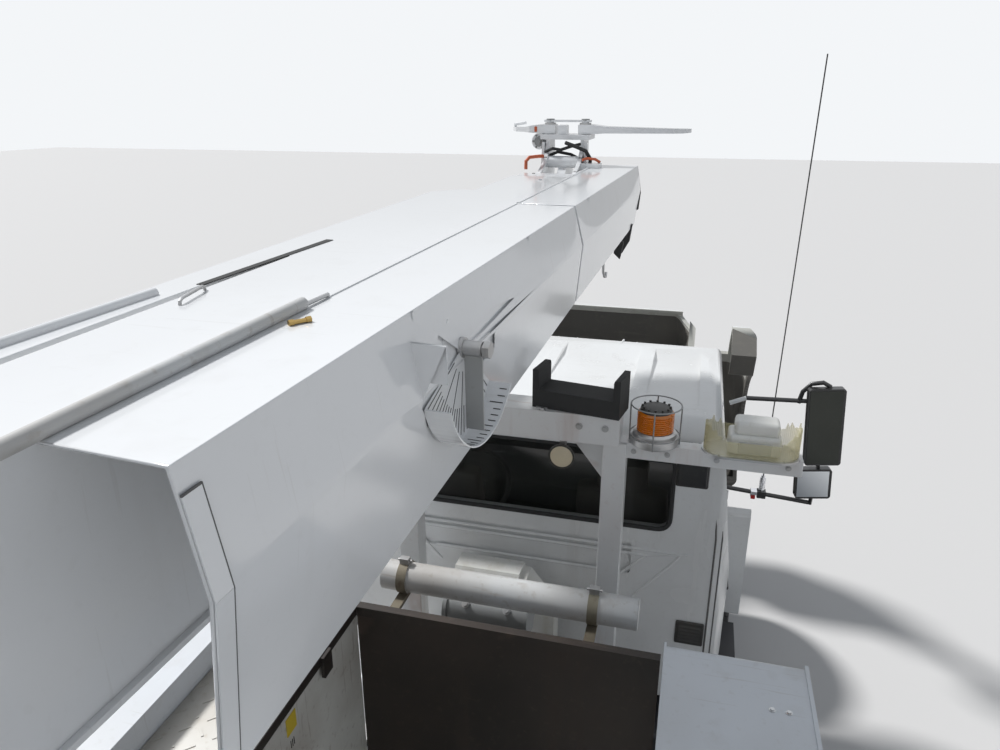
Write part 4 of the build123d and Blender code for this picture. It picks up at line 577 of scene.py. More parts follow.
def shroud_finish(spot, way):
    """Leaves out the gauge's bar and the two ends of its rim, which make_indicator builds."""
    place = BOOM.inverted() @ TRUCK @ spot
    y0, z0 = GAUGE_PIVOT
    if place.x > 396 and math.hypot(place.y - y0, place.z - z0) < 262 and place.z < 222:
        return None
    return "boom_white"


def skin_derrick():
    """Pedestal, turret, booms, sheet, lift cylinder, winch and auger."""
    for node in ("pedestal", "turret", "mid_boom", "tip_boom"):
        skin(node, ["boom_white"])
    skin("lower_boom", ["boom_white", "machine_grey"], bevel=0.002)
    skin("shroud", ["boom_white"], shroud_finish, bevel=0.002)
    skin("lift_barrel", ["boom_white"])
    skin("lift_rod", ["rod_chrome"])
    skin("winch_drum", ["machine_grey"])
    skin("auger_drive", ["machine_grey"])
    skin("auger", ["auger_steel"])


# Wheels
# Outlines of a tyre and a rim, as pairs of distance from the wheel's middle and radius
TYRE = ((-115, 286), (-139, 326), (-143, 352), (-146, 356), (-146, 372), (-145, 406), (-143, 436),
        (-145, 440), (-144, 450), (-139, 475), (-128, 496), (-121, 508), (-97, 517), (-92, 506), (-82, 506),
        (-78, 519), (-34, 520), (-30, 507), (-22, 507), (-18, 520), (18, 520), (22, 507), (30, 507),
        (34, 520), (78, 519), (82, 506), (92, 506), (97, 517), (121, 508), (128, 496), (139, 475),
        (144, 450), (145, 440), (143, 436), (145, 406), (146, 372), (146, 356), (143, 352), (139, 326),
        (115, 286), (100, 276), (-100, 276))
RIM = ((-120, 298), (-120, 270), (-104, 262), (-60, 248), (60, 248), (104, 262), (120, 270), (120, 298),
       (112, 298), (108, 284), (60, 258), (-60, 258), (-108, 284), (-112, 298))


def wheel_spot(axle_y, x, angle, radius):
    """A point of a wheel, at that angle and distance from its axle."""
    return x, axle_y + math.cos(angle) * radius, AXLE_HEIGHT + math.sin(angle) * radius


def tyre_with_rim(piece, middle, side, axle_y, disc_out, disc_in):
    """A tyre with lugs on its shoulders, and its rim with a disc of ten spokes. Returns the disc's place.

    disc_out and disc_in are where the disc meets the hub and the rim, measured outwards from the middle.
    """
    lugs = bpy.context.scene.truck_wheels.lugs
    centre = (0, axle_y, AXLE_HEIGHT)
    piece.use("tyre_rubber")
    piece.turned([(middle + x, r) for x, r in TYRE], centre, sides=88)
    half = math.tau / lugs * 0.30
    for edge in (-1, 1):
        inner, outer = middle + edge * 100, middle + edge * 131
        for angle in turns(lugs):
            before, after = angle - half, angle + half
            low, high = (
                [wheel_spot(axle_y, inner, a, tall) for a in (before, after)]
                + [wheel_spot(axle_y, outer, a, short) for a in (after, before)]
                for tall, short in ((500, 494), (519, 512)))
            piece.hull(low, high)
    piece.use("rim_white")
    piece.turned([(middle + x, r) for x, r in RIM], centre, sides=88)
    flat = middle + side * disc_out
    lean = middle + side * disc_in
    near = flat + (lean - flat) * 0.62
    thick = side * 7
    for x0, r0, x1, r1 in ((flat, 60, flat, 182), (near, 228, lean, 256)):
        outline = [(x0 - thick, r0), (x0 + thick, r0), (x1 + thick, r1), (x1 - thick, r1)]
        piece.turned(outline, centre, sides=60)
    half = math.tau / 10 * 0.28
    for angle in turns(10):
        before, after = angle - half, angle + half
        low, high = (
            [wheel_spot(axle_y, x + out, a, radius) for a, out in (
                (before, -thick), (after, -thick), (after, thick), (before, thick))]
            for x, radius in ((flat, 178), (near, 232)))
        piece.hull(low, high)
    return flat


def wheel_nuts(piece, flat, side, axle_y, hub_end):
    """The hub with its ring of bolts, and the wheel nuts on their studs."""
    piece.use("machine_grey")
    hub = [(flat - side * 30, 5), (flat + side * 8, 5), (hub_end, 5), (hub_end, 54),
           (hub_end - side * 14, 66), (hub_end - side * 22, 84), (flat + side * 8, 92),
           (flat + side * 8, 112), (flat - side * 30, 112)]
    piece.turned(hub, (0, axle_y, AXLE_HEIGHT), sides=48)
    for a in turns(8):
        piece.bolt(wheel_spot(axle_y, hub_end - side * 16, a, 70), (side, 0, 0), 6, 8)
    for a in turns(bpy.context.scene.truck_wheels.nuts, 0.5):
        washer, nut, stud = (-8, 12, 20, 16, 0.0), (8, 30, 16, 6, a), (0, 42, 8, 10, 0.0)
        for start, end, radius, sides, turn in (washer, nut, stud):
            piece.rod(wheel_spot(axle_y, flat + side * start, a, 143),
                      wheel_spot(axle_y, flat + side * end, a, 143), radius, sides, turn)


def make_wheels():
    """The two front wheels and the two twin rear wheels."""
    finishes = ["tyre_rubber", "rim_white", "machine_grey"]
    for side, word in ((1, "right"), (-1, "left")):
        front = Piece(finishes)
        flat = tyre_with_rim(front, side * 1040, side, FRONT_AXLE, 70, 40)
        wheel_nuts(front, flat, side, FRONT_AXLE, side * 1168)
        front.done("front_tyre_" + word, "front_wheel_" + word, ("front_wheel_" + word,))
        rear = Piece(finishes)
        flat = tyre_with_rim(rear, side * 1075, side, REAR_AXLE, -150, -60)
        tyre_with_rim(rear, side * 745, side, REAR_AXLE, 150, 60)
        wheel_nuts(rear, flat, side, REAR_AXLE, side * 1083)
        rear.done("rear_tyres_" + word, "rear_wheels_" + word, ("rear_wheels_" + word,))


# Boom and sheet
def make_boom_trim():
    """What lies on the boom's top: the sheet's doubler, strips, plugs, pipe, handle and hoses."""
    trim = Piece(["boom_white", "zinc", "black_rubber", "seam_dark"], BOOM)
    # Doubler down the sheet's rear edge, and the dark line of sealer round it
    edge = ((380.6, 307), (381, 304), (404, 140), (350, -240))
    for (x0, z0), (x1, z1) in zip(edge, edge[1:]):
        along = Vector((x1 - x0, z1 - z0)).normalized()
        for finish, near, far, height in (("boom_white", 2831, 2869, 3), ("seam_dark", 2869, 2871, 3.4)):
            if z0 == edge[0][1]:
                finish, far, height = "seam_dark", 2871, 3.4
            trim.use(finish)
            out = Vector((-along.y, along.x)) * height
            corners = [(x0, z0), (x1, z1), (x1 + out.x, z1 + out.y), (x0 + out.x, z0 + out.y)]
            trim.prism(corners, 1, near, far)
    # Edge strip between the boom and the sheet
    trim.use("boom_white")
    trim.box((140, 3570, 350), (152, 4896, 353))
    trim.box((140, 4922, 350), (152, 6236, 353))
    trim.use("zinc")
    for x, y in ((37, 5569), (119, 5896), (-60, 5780), (40, 5990)):
        trim.rod((x, y, 350), (x, y, 354), 8, sides=16)
    # Rounded bar along the left edge, and a flat black strip ahead of it that paints the shade inside the
    # open slot
    trim.use("boom_white")
    trim.pipe([(-300, 1200, 353), (-292, 2500, 353), (-251, 3475, 353)], 13, sides=16)
    trim.use("black_rubber")
    trim.prism([(-216, 3571), (-196, 3571), (-172, 4116), (-196, 4116)], 2, 349, 351.5)
    trim.done("boom_trim", "boom")

    pipe = Piece(["pipe_white", "zinc", "brass"], BOOM)
    pipe.pipe([(146, 560, 362), (146, 3478, 362)], 14, sides=24)
    pipe.use("zinc")
    pipe.pipe([(146, 3470, 358), (148, 3572, 356)], 5)
    pipe.rod((146, 3476, 362), (146, 3484, 362), 10, sides=6)
    pipe.use("brass")
    pipe.rod((188, 3374, 355), (208, 3402, 355), 5, sides=6)
    pipe.rod((184, 3368, 355), (190, 3377, 355), 7, sides=6)
    pipe.rod((205, 3398, 355), (211, 3407, 355), 7, sides=6)
    pipe.done("boom_pipe", "boom")

    handle = Piece(["zinc"], BOOM)
    handle.pipe([(-131, 3420, 350), (-131, 3422, 358), (-134, 3432, 362), (-158, 3526, 362),
                 (-162, 3536, 358), (-163, 3538, 350)], 4)
    handle.done("boom_handle", "boom")

    # Hoses laid in the tray, black, and the steel clamps across them
    hoses = Piece(["black_rubber", "zinc"], BOOM)
    for x, radius in ((-268, 11), (-240, 13), (-210, 11)):
        hoses.pipe([(x, 920, 262 + radius), (x, 5000, 262 + radius)], radius, sides=10)
    hoses.use("zinc")
    for y in (1300, 1900, 2500, 3400, 4300):
        hoses.box((-288, y, 262), (-190, y + 26, 292), bevel=3)
    hoses.done("boom_hoses", "boom")


def make_indicator():
    """The angle gauge: a plate on the sheet's side, its bent rim, and a bar that hangs from its bolt."""
    gauge = Piece(["boom_white", "mark_black", "zinc", "plate_grey"], BOOM)
    y0, z0 = GAUGE_PIVOT

    def spot(x, angle, radius):
        return Vector((x, y0 + math.cos(angle) * radius, z0 + math.sin(angle) * radius))
    first, last, steps = math.radians(197), math.radians(318), 24
    for i in range(steps):
        a, b = (first + (last - first) * k / steps for k in (i, i + 1))
        for inner, outer, depth in ((231, 235, 463), (6, 233, 401)):
            corners = ((a, inner), (b, inner), (b, outer), (a, outer))
            gauge.hull([spot(398, *p) for p in corners], [spot(depth, *p) for p in corners])
    # Marks on the plate and on the rim, long at every fourth
    gauge.use("mark_black")
    for step in range(23):
        angle = math.radians(199 + step * 5.2)
        side = Vector((0, -math.sin(angle), math.cos(angle)))
        inner = 60 if step % 4 == 0 else 150
        near, far = spot(401, angle, inner), spot(401, angle, 222)
        ring = [near - side * 1.1, near + side * 1.1, far + side * 1.1, far - side * 1.1]
        gauge.hull(ring, [p + Vector((0.8, 0, 0)) for p in ring])
        reach = 36 if step % 4 == 0 else 20
        base = spot(455, angle, 230.4)
        ring = [base - side * 1.2, base + side * 1.2, base + side * 1.2 - Vector((reach, 0, 0)),
                base - side * 1.2 - Vector((reach, 0, 0))]
        inward = Vector((0, -math.cos(angle), -math.sin(angle))) * 0.8
        gauge.hull(ring, [p + inward for p in ring])
    gauge.use("zinc")
    bolts = ((384, 468, 13, 24), (404, 452, 19, 28), (456, 472, 22, 6), (396, 406, 25, 24))
    for near, far, radius, sides in bolts:
        gauge.rod((near, y0, z0), (far, y0, z0), radius, sides)
    gauge.use("plate_grey")
    gauge.box((404, 3735, -14), (452, 3741, 204), bevel=2)
    gauge.use("boom_white")
    gauge.prism([(3640, 215), (3740, 150), (3760, 230), (3690, 285)], 0, 380, 386)
    gauge.done("angle_gauge", "boom")


def make_boom_tip():
    """The small machinery on the boom's head, the two guide arms, and the flaps and hook below the head."""
    head = Piece(["boom_white", "machine_grey", "hose_orange", "black_rubber"], BOOM)
    table = 484
    head.rod((-96, 6120, 372), (96, 6120, 372), 30, sides=28)
    head.rod((-150, 6170, 470), (-150, 6250, 470), 42, sides=32)
    head.use("machine_grey")
    head.rod((-104, 6120, 372), (-86, 6120, 372), 37, sides=8)
    head.rod((86, 6120, 372), (104, 6120, 372), 37, sides=8)
    head.rod((-150, 6162, 470), (-150, 6172, 470), 28, sides=8)
    head.rod((-150, 6150, 470), (-150, 6164, 470), 13, sides=6)
    for a in turns(6):
        head.bolt((-150 + math.cos(a) * 34, 6169, 470 + math.sin(a) * 34), (0, -1, 0), 4, 5)
    head.box((-112, 6170, 440), (-84, 6240, 500), bevel=3)
    head.use("boom_white")
    for low in (-122, 108):
        head.prism([(6110, 352), (6150, 352), (6160, 470), (6128, 470)], 0, low, low + 14)
    head.box((100, 6060, 340), (205, 6120, 372), bevel=3)
    head.box((-44, 6150, table + 24), (4, 6200, table + 70), bevel=3)
    head.use("hose_orange")
    head.pipe([(-168, 5990, 345), (-170, 6000, 385), (-158, 6022, 402), (-120, 6060, 404),
               (-106, 6090, 402)], 9)
    head.pipe([(112, 6070, 388), (130, 6086, 396), (175, 6094, 392), (196, 6110, 376)], 7)
    head.box((-176, 6160, table + 34), (-160, 6180, table + 62), bevel=3)
    head.use("black_rubber")
    head.pipe([(-104, 6120, 420), (-60, 6110, 440), (-20, 6130, 432), (40, 6120, 452), (88, 6150, 462)], 8)
    head.pipe([(-90, 6140, 400), (-40, 6146, 420), (30, 6150, 408), (96, 6140, 380)], 8)
    head.pipe([(10, 6110, 470), (70, 6100, 452), (120, 6110, 430), (140, 6130, 390), (136, 6140, 352)], 10)
    head.box((126, 6150, 250), (150, 6230, 330), bevel=8)
    head.use("machine_grey")
    for x in (-95, 95):
        head.rod((x, 6190, 576), (x, 6190, 584), 22, sides=6)
    head.done("head_machinery", "upper_boom")

    # Guide arms, thick at the pin and slim at the curved end
    pin, base = 6190, 510
    for side, word, reach in ((1, "right", 520), (-1, "left", 210)):
        x = side * 95
        arm = Piece(["boom_white", "zinc"], BOOM)
        rows = [(x - side * 32, -30, 34, 0, 46), (x + side * 44, -30, 40, 0, 46),
                (x + side * 110, -24, 36, 4, 38), (x + side * (reach - 60), -4, 26, 6, 30),
                (x + side * (reach - 10), 20, 58, 6, 28), (x + side * (reach + 16), 50, 72, 8, 26)]
        rings = [[(px, pin + y, base + z) for y, z in ((near, low), (far, low), (far, high), (near, high))]
                 for px, near, far, low, high in rows]
        for ring, ahead in zip(rings, rings[1:]):
            arm.hull(ring, ahead)
        arm.use("zinc")
        arm.rod((x, pin, base + 44), (x, pin, base + 54), 30, sides=24)
        if side < 0:
            arm.use("boom_white")
            arm.pipe([(x - reach, 6240, base + 24), (x - reach - 6, 6236, base + 40),
                      (x - reach + 60, 6232, base + 50)], 8)
        arm.done("guide_arm_piece_" + word, "guide_" + word, ("guide_arm_" + word,))

    # Rubber flaps below the sheet's tip, and the hook on the boom's underside
    flaps = Piece(["black_rubber", "zinc"], BOOM)
    flaps.prism([(372, 330), (392, 210), (384, 120), (376, 120), (384, 210), (364, 330)], 1, 6236, 6262)
    flaps.prism([(340, 70), (378, 60), (366, -30), (330, -96), (318, -20)], 1, 6120, 6146)
    flaps.prism([(330, 10), (366, 0), (350, -90), (318, -60)], 1, 5960, 5985)
    flaps.use("zinc")
    flaps.pipe([(352, 5560, -20), (352, 5560, -60), (356, 5572, -86), (356, 5598, -92),
                (356, 5612, -74)], 6)
    flaps.done("boom_flaps", "boom")


def make_winch_rope():
    """Two layers of rope on the drum, each turn a ring of its own."""
    rope = Piece(["rope_grey"], BOOM)
    outline = ((-5, -6), (-5, 3), (0, 6), (5, 3), (5, -6))
    for layer, radius in ((0, 86), (1, 93)):
        for turn in range(15):
            x = -102 + turn * 13.6 + layer * 6
            rope.turned([(x + along, radius + out) for along, out in outline], (0, 350, 500), sides=40)
    rope.done("winch_rope", "winch")


# Rack, lamps and the well behind the cab
def oval(half_x, half_y, count=64):
    """Points round the light bar's stadium outline."""
    points = []
    for a in turns(count):
        shift = half_x - half_y if math.cos(a) >= 0 else half_y - half_x
        points.append((LIGHT_BAR_X + math.cos(a) * half_y + shift, LAMP_Y + math.sin(a) * half_y))
    return points


def make_lamps():
    """The amber beacon in its cage, the light bar with its broken cover, and the work lamp below the beam."""
    lamps = Piece(["lens_amber", "zinc", "lens_yellowed", "lamp_white", "lamp_core", "grille_black",
                   "lens_beige", "machine_grey", "lens_clear"])
    base = LAMP_BASE
    beacon = (BEACON_X, LAMP_Y, 0)

    def around(angle, radius, level):
        return BEACON_X + math.cos(angle) * radius, LAMP_Y + math.sin(angle) * radius, base + level
    lamps.use("zinc")
    lamps.turned([(base, 1), (base, 98), (base + 10, 102), (base + 30, 100), (base + 34, 92), (base + 52, 90),
                  (base + 60, 80), (base + 60, 1)], beacon, sides=56, axis=2)
    lamps.use("lens_amber")
    ribs = []
    for i in range(9):
        z = base + 60 + i * 9
        ribs += [(z, 73), (z + 3, 77), (z + 6, 77), (z + 9, 73)]
    lamps.turned([(base + 58, 1)] + ribs + [(base + 143, 71), (base + 147, 66), (base + 147, 1)], beacon,
                 sides=64, axis=2)
    lamps.use("grille_black")
    lamps.turned([(base + 146, 1), (base + 146, 68), (base + 158, 64), (base + 165, 50), (base + 166, 1)],
                 beacon, sides=48, axis=2)
    for a in turns(12):
        lamps.rod(around(a, 58, 150), around(a, 58, 168), 5, sides=8)
    # The beacon's wire cage
    lamps.use("machine_grey")
    for level in (40, 172):
        lamps.pipe([around(a, 104, level) for a in turns(40) + [math.tau]], 3, sides=8)
    for a in turns(4):
        lamps.pipe([around(a, 104, 2), around(a, 105, 172)], 3, sides=8)

    # Light bar: base plate, broken yellowed cover with a jagged edge, and the white box inside
    lamps.use("zinc")
    lamps.prism(oval(196, 96), 2, base, base + 9)
    lamps.use("lens_yellowed")
    chance = random.Random(5)
    outside, inside = oval(188, 88), oval(183, 83)
    rims = []
    for x, y in outside:
        share = abs(x - LIGHT_BAR_X) / 188
        broken = chance.choice((0, 4, 12, 26)) if share > 0.55 else chance.choice((0, 3, 7))
        rims.append(base + min(52 + 66 * share ** 2 + broken, 146))
    count = len(outside)
    for i in range(count):
        j = (i + 1) % count
        a0, a1, b0, b1 = outside[i], outside[j], inside[i], inside[j]
        lamps.hull([(*a0, base + 8), (*a1, base + 8), (*b1, base + 8), (*b0, base + 8)],
                   [(*a0, rims[i]), (*a1, rims[j]), (*b1, rims[j]), (*b0, rims[i])])
    lamps.use("lamp_white")
    lamps.box((936, 3190, base + 9), (1142, 3310, base + 96), bevel=16)
    lamps.box((958, 3200, base + 90), (1132, 3304, base + 150), bevel=18)
    lamps.use("lens_clear")
    lamps.box((976, 3184, base + 20), (1104, 3192, base + 70), bevel=10)
    lamps.use("zinc")
    for x, y in oval(180, 80, 10):
        lamps.rod((x, y, base + 8), (x, y, base + 13), 5, sides=10)
    # Work lamp below the beam, with its beige glass to the rear
    z = 2520
    lamps.use("grille_black")
    lamps.turned([(3212, 1), (3212, 30), (3180, 52), (3164, 58), (3156, 58), (3156, 54), (3160, 54),
                  (3160, 1)], (260, 0, z), sides=36, axis=1)
    lamps.use("lens_beige")
    lamps.turned([(3158, 1), (3156, 20), (3158, 40), (3161, 53), (3164, 53), (3164, 1)], (260, 0, z),
                 sides=36, axis=1)
    lamps.use("zinc")
    lamps.box((246, 3188, z + 40), (274, 3214, z + 72), bevel=2)
    lamps.done("lamps", "truck", ("warning_lamps",))


def make_rack_trim():
    """The lamp box under the rack's arm, the rack's bolts, the saddle's feet, and the tube's cap."""
    trim = Piece(["grille_black", "mirror_black", "zinc", "pipe_white"])
    # Black lamp box under the arm, on the cab side
    trim.box((742, 3300, 2370), (884, 3420, 2540), bevel=10)
    trim.use("mirror_black")
    trim.box((752, 3292, 2384), (874, 3301, 2526), bevel=6)
    trim.use("zinc")
    trim.box((800, 3280, 2520), (826, 3300, 2590), bevel=2)
    for x in (-430, -330, 330, 440):
        trim.bolt((x, 3168, 2668), (0, -1, 0), 10, 10)
    for x in (560, 700, 900, 1180):
        trim.bolt((x, 3213, 2559), (0, -1, 0), 8, 8)
    for side in (-1, 1):
        for y in (3160, 3340):
            trim.bolt((side * 510, y, 976), (0, 0, 1), 10, 12)
            trim.bolt((side * 390, y, 976), (0, 0, 1), 10, 12)
    # Feet that hold the saddle block to the beam
    trim.use("zinc")
    for x in (170, 470):
        trim.box((x - 34, 3196, 2720), (x + 34, 3204, 2726), bevel=1)
        trim.bolt((x, 3176, 2722), (0, 0, 1), 9, 10)
    trim.use("pipe_white")
    trim.box((496, 3206, 2050), (512, 3294, 2058))
    # Right end of the tube holder: its cap, and the strap bolts
    trim.turned([(644, 1), (644, 57), (651, 60), (653, 50), (654, 1)], (0, TUBE_Y, TUBE_Z), sides=48)
    trim.use("zinc")
    for x in STRAP_PLACES:
        trim.box((x - 20, TUBE_Y - 14, 2152), (x + 20, TUBE_Y + 14, 2182), bevel=2)
        trim.rod((x - 30, TUBE_Y, 2170), (x + 30, TUBE_Y, 2170), 6, sides=6)
        trim.bolt((x, 2556, 1960), (0, 1, 0), 8, 8)
    trim.done("rack_trim", "truck")


def make_behind_cab():
    """The pale box and the round cover that show below and above the tube."""
    gear = Piece(["lamp_white", "machine_grey", "zinc"])
    gear.prism([(3300, 960), (3470, 960), (3470, 1742), (3445, 1768), (3330, 1768), (3300, 1730)], 0,
               -290, 40)
    gear.prism([(40, 960), (220, 960), (220, 1560), (75, 1740), (40, 1745)], 1, 3320, 3450)
    gear.use("machine_grey")
    for x0, x1, radius in ((-210, 150, 92), (-226, -208, 98), (148, 166, 98)):
        gear.rod((x0, 3030, 1770), (x1, 3030, 1770), radius, sides=40)
    for x in (-150, 60):
        gear.box((x, 3000, 960), (x + 40, 3060, 1690), bevel=3)
    gear.use("zinc")
    for x in (-120, 70):
        gear.bolt((x, 2960, 1835), (0, -0.7, 0.7), 12, 12)
    gear.done("air_cleaner", "truck")


def make_body_trim():
    """The body's bolts, rivets, lips, handles and rails, its tread plate and its rear lamps."""
    trim = Piece(["body_white", "zinc", "tread_metal", "dark_steel", "plate_yellow"])
    # Bolts and rivets on the right bin, and the lid's rolled edge
    trim.use("zinc")
    for y in (2250, 1250, 250, -750, -1750):
        for x in (1092, 1141):
            trim.bolt((x, y, 2200), (0, 0, 1), 7, 7)
    for side in (-1, 1):
        for y in range(-2200, 2481, 220):
            trim.rod((side * 763, y, 2150), (side * 759, y, 2150), 6, sides=10)
    trim.use("body_white")
    for side in (-1, 1):
        trim.side_box(side, (756, -2330, 2120), (764, 2480, 2201), bevel=1.5)
        trim.side_box(side, (1208, -2326, 2200), (1221, 2476, 2205), bevel=1.5)
    # Tread plate on top of the left structure, and the channel along its edge
    trim.use("tread_metal")
    trim.box((-760, 705, 2090), (-436, 2516, 2096), bevel=1)
    trim.use("dark_steel")
    trim.box((-440, 705, 2062), (-418, 2518, 2102), bevel=2)
    for y in (1500, 2236):
        trim.box((-420, y - 30, 2010), (-404, y + 30, 2098), bevel=2)
    # Blank yellow plate on the well's left wall
    trim.use("plate_yellow")
    trim.box((-430, 1975, 1960), (-427, 2035, 2030), bevel=0.5)
    trim.use("dark_steel")
    for y in (1990, 2000, 2010):
        trim.box((-431, y, 1900), (-428, y + 2, 1930))
    # Door handles of the bins, gutter lips over their doors, and grab rails at the rear
    trim.use("zinc")
    for side in (-1, 1):
        for y0, z in ((-2160, 1470), (830, 1400)):
            trim.side_box(side, (1214, y0 - 14, z - 36), (1222, y0 + 14, z + 36), bevel=3)
            trim.rod((side * 1216, y0, z), (side * 1226, y0, z), 12, sides=20)
    for side in (-1, 1):
        trim.use("body_white")
        trim.side_box(side, (1219, -2290, 2166), (1226, -690, 2178), bevel=2)
        trim.side_box(side, (1219, 690, 2166), (1226, 2440, 2178), bevel=2)
        trim.use("zinc")
        trim.pipe([(side * 1150, -2332, 1300), (side * 1150, -2392, 1310), (side * 1150, -2392, 1890),
                   (side * 1150, -2332, 1900)], 14, sides=12)
    trim.done("body_trim", "truck")

    # Raised bars of the tread plate, leaning left and right by turns
    tread = Piece(["tread_metal"])
    deck, roof = 1104, 2095
    for rows, columns, level in ((range(-2300, 2500, 60), range(-690, 740, 60), deck),
                                 (range(730, 2500, 60), range(-740, -450, 60), roof)):
        for row, y in enumerate(rows):
            for column, x in enumerate(columns):
                pedestal = abs(x + 471) < 235 and abs(y + 1500) < 235
                structure = x < -400 and y > 670
                if level == deck and (pedestal or structure):
                    continue
                turn = Matrix.Rotation(math.radians(45 if (row + column) % 2 else -45), 4, "Z")
                tread.box((x - 18, y - 4, level), (x + 18, y + 4, level + 3), turn=turn)
    tread.done("tread_pattern", "truck")

    rear = Piece(["grille_black", "lens_red", "lens_amber"])
    for side in (-1, 1):
        x = side * 980
        rear.use("grille_black")
        rear.box((x - 110, -2512, 580), (x + 110, -2500, 680), bevel=4)
        for dx, finish in ((-55, "lens_red"), (55, "lens_amber")):
            rear.use(finish)
            rear.turned([(-2512, 1), (-2522, 20), (-2520, 38), (-2512, 44), (-2510, 1)], (x + dx, 0, 630),
                        sides=28, axis=1)
    rear.done("tail_lamps", "truck")


# Cab
def rounded_line(corners, radius, steps=6):
    """A closed line round the corners, each rounded to that radius."""
    points = []
    count = len(corners)
    for i in range(count):
        here = Vector(corners[i])
        before = (Vector(corners[i - 1]) - here).normalized()
        after = (Vector(corners[(i + 1) % count]) - here).normalized()
        start, end = here + before * radius, here + after * radius
        for k in range(steps + 1):
            t = k / steps
            points.append(start * (1 - t) ** 2 + here * 2 * t * (1 - t) + end * t ** 2)
    points.append(points[0].copy())
    return points


def make_cab_trim():
    """The rear window's seal, the wall's swages and vent, the roof's seams, and the doors' small pieces."""
    seal = Piece(["black_rubber"])
    corners = [(-736, 3553, 1994), (-736, 3556, 2396), (736, 3556, 2396), (736, 3553, 1994)]
    seal.pipe(rounded_line(corners, 70), 11)
    seal.done("window_seal", "truck")

    wall = Piece(["cab_white", "seam_dark", "grille_black"])
    # Rear wall: the recessed panel below the window and the swages that slant out and up from it
    for z0, z1, reach in ((1868, 1874, 830), (1836, 1842, 640), (1720, 1726, 470)):
        wall.prism([(3551, z0 - 6), (3544, z0), (3544, z1), (3551, z1 + 6)], 0, -reach, reach)
    for side in (-1, 1):
        for x0, z0, x1, z1 in ((440, 1641, 631, 1835), (411, 1374, 762, 1811), (762, 1811, 800, 1868)):
            wall.pipe([(side * x0, 3551, z0), (side * x1, 3551, z1)], 8, sides=8)
        wall.pipe([(side * 640, 3551, 1838), (side * 830, 3551, 1871)], 6, sides=8)
    wall.pipe([(-860, 3556, 2440), (860, 3556, 2440)], 9, sides=8)
    wall.use("seam_dark")
    for side in (-1, 1):
        wall.pipe([(side * 955, 3552, 1080), (side * 955, 3552, 1980), (side * 925, 3566, 2340)], 5, sides=6)
        wall.pipe([(side * 985, 3565, 1080), (side * 985, 3565, 1980), (side * 955, 3578, 2320)], 4, sides=6)
    # Louvred vent low on the right
    wall.use("grille_black")
    wall.box((806, 3538, 1356), (946, 3552, 1490), bevel=12)
    for i in range(5):
        z = 1376 + i * 21
        wall.prism([(3532, z), (3539, z + 13), (3539, z)], 0, 822, 930)
    wall.done("cab_wall_trim", "truck")

    roof = Piece(["cab_white"])
    # Narrow raised seams of the roof, and the two flat panels near its edges
    for side in (-1, 1):
        for x0, y0, x1, y1 in ((60, 4800, 44, 4285), (348, 4840, 320, 4396), (434, 4800, 407, 3934),
                               (622, 4790, 609, 3871)):
            roof.pipe([(side * x0, y0, 2545), (side * (x0 + x1) / 2, (y0 + y1) / 2, 2558),
                       (side * x1, y1, 2557)], 7, sides=8)
        for points in (((722, 4740, 2536), (772, 4385, 2541), (814, 4029, 2534), (700, 4010, 2548)),
                       ((880, 4496, 2505), (912, 3933, 2500))):
            roof.pipe([(side * x, y, z) for x, y, z in points], 6, sides=8)
    roof.pipe([(-880, 3640, 2548), (880, 3640, 2548)], 8, sides=8)
    for side in (-1, 1):
        roof.pipe([(side * 925, 3680, 2470), (side * 940, 4300, 2478), (side * 938, 4700, 2450)], 9, sides=8)
    roof.done("roof_seams", "truck")

    for side, word in ((1, "right"), (-1, "left")):
        door = Piece(["mirror_black", "cab_white", "mirror_painted_dark_reflection", "rod_chrome", "lens_red", "mirror_glass"])
        door.side_box(side, (1034, 3790, 1520), (1046, 3930, 1570), bevel=4)
        door.side_box(side, (1042, 3800, 1536), (1062, 3910, 1558), bevel=6)
        door.use("cab_white")
        for z in (1400, 1180):
            door.pipe([(side * 1038, 3760, z), (side * 1038, 4600, z)], 5, sides=8)
        # Mirror glasses, framed by the black heads, and the elbow over the upper arm. The upper glass is a
        # near-black metal, a painted dark reflection.
        for z, height, width, finish in ((2210, 448, 90, "mirror_painted_dark_reflection"), (1850, 166, 88, "mirror_glass")):
            x = side * (1535 if z > 2000 else 1520)
            tilt = Matrix.Rotation(math.radians(-4 * side), 4, "Y")
            swing = Matrix.Rotation(math.radians(8 * side), 4, "Z")
            door.use(finish)
            door.box((x - width, 4524, z - height / 2), (x + width, 4527, z + height / 2), bevel=1.2,
                     turn=tilt @ swing)
        door.use("mirror_black")
        elbow = ((1385, 4580, 2330), (1400, 4580, 2400), (1440, 4576, 2452), (1500, 4570, 2468),
                 (1535, 4562, 2452), (1545, 4556, 2410))
        door.pipe([(side * x, y, z) for x, y, z in elbow], 13, sides=12)
        # Spring and foot of the whip on the right arm, with a small red lamp
        if side > 0:
            door.use("rod_chrome")
            coil = [(1250 + math.cos(a) * 15, 4580 + math.sin(a) * 15, 1744 + a * 84 / (math.tau * 7))
                    for a in (math.tau * 7 * i / 98 for i in range(99))]
            door.pipe(coil, 3.2, sides=6)
            door.rod((1250, 4580, 1828), (1250, 4580, 1846), 11, sides=14)
            door.box((1188, 4556, 1716), (1226, 4604, 1740), bevel=3)
            door.use("lens_red")
            door.box((1190, 4552, 1690), (1216, 4608, 1716), bevel=4)
        door.done("door_trim_" + word, "cab_door_" + word)


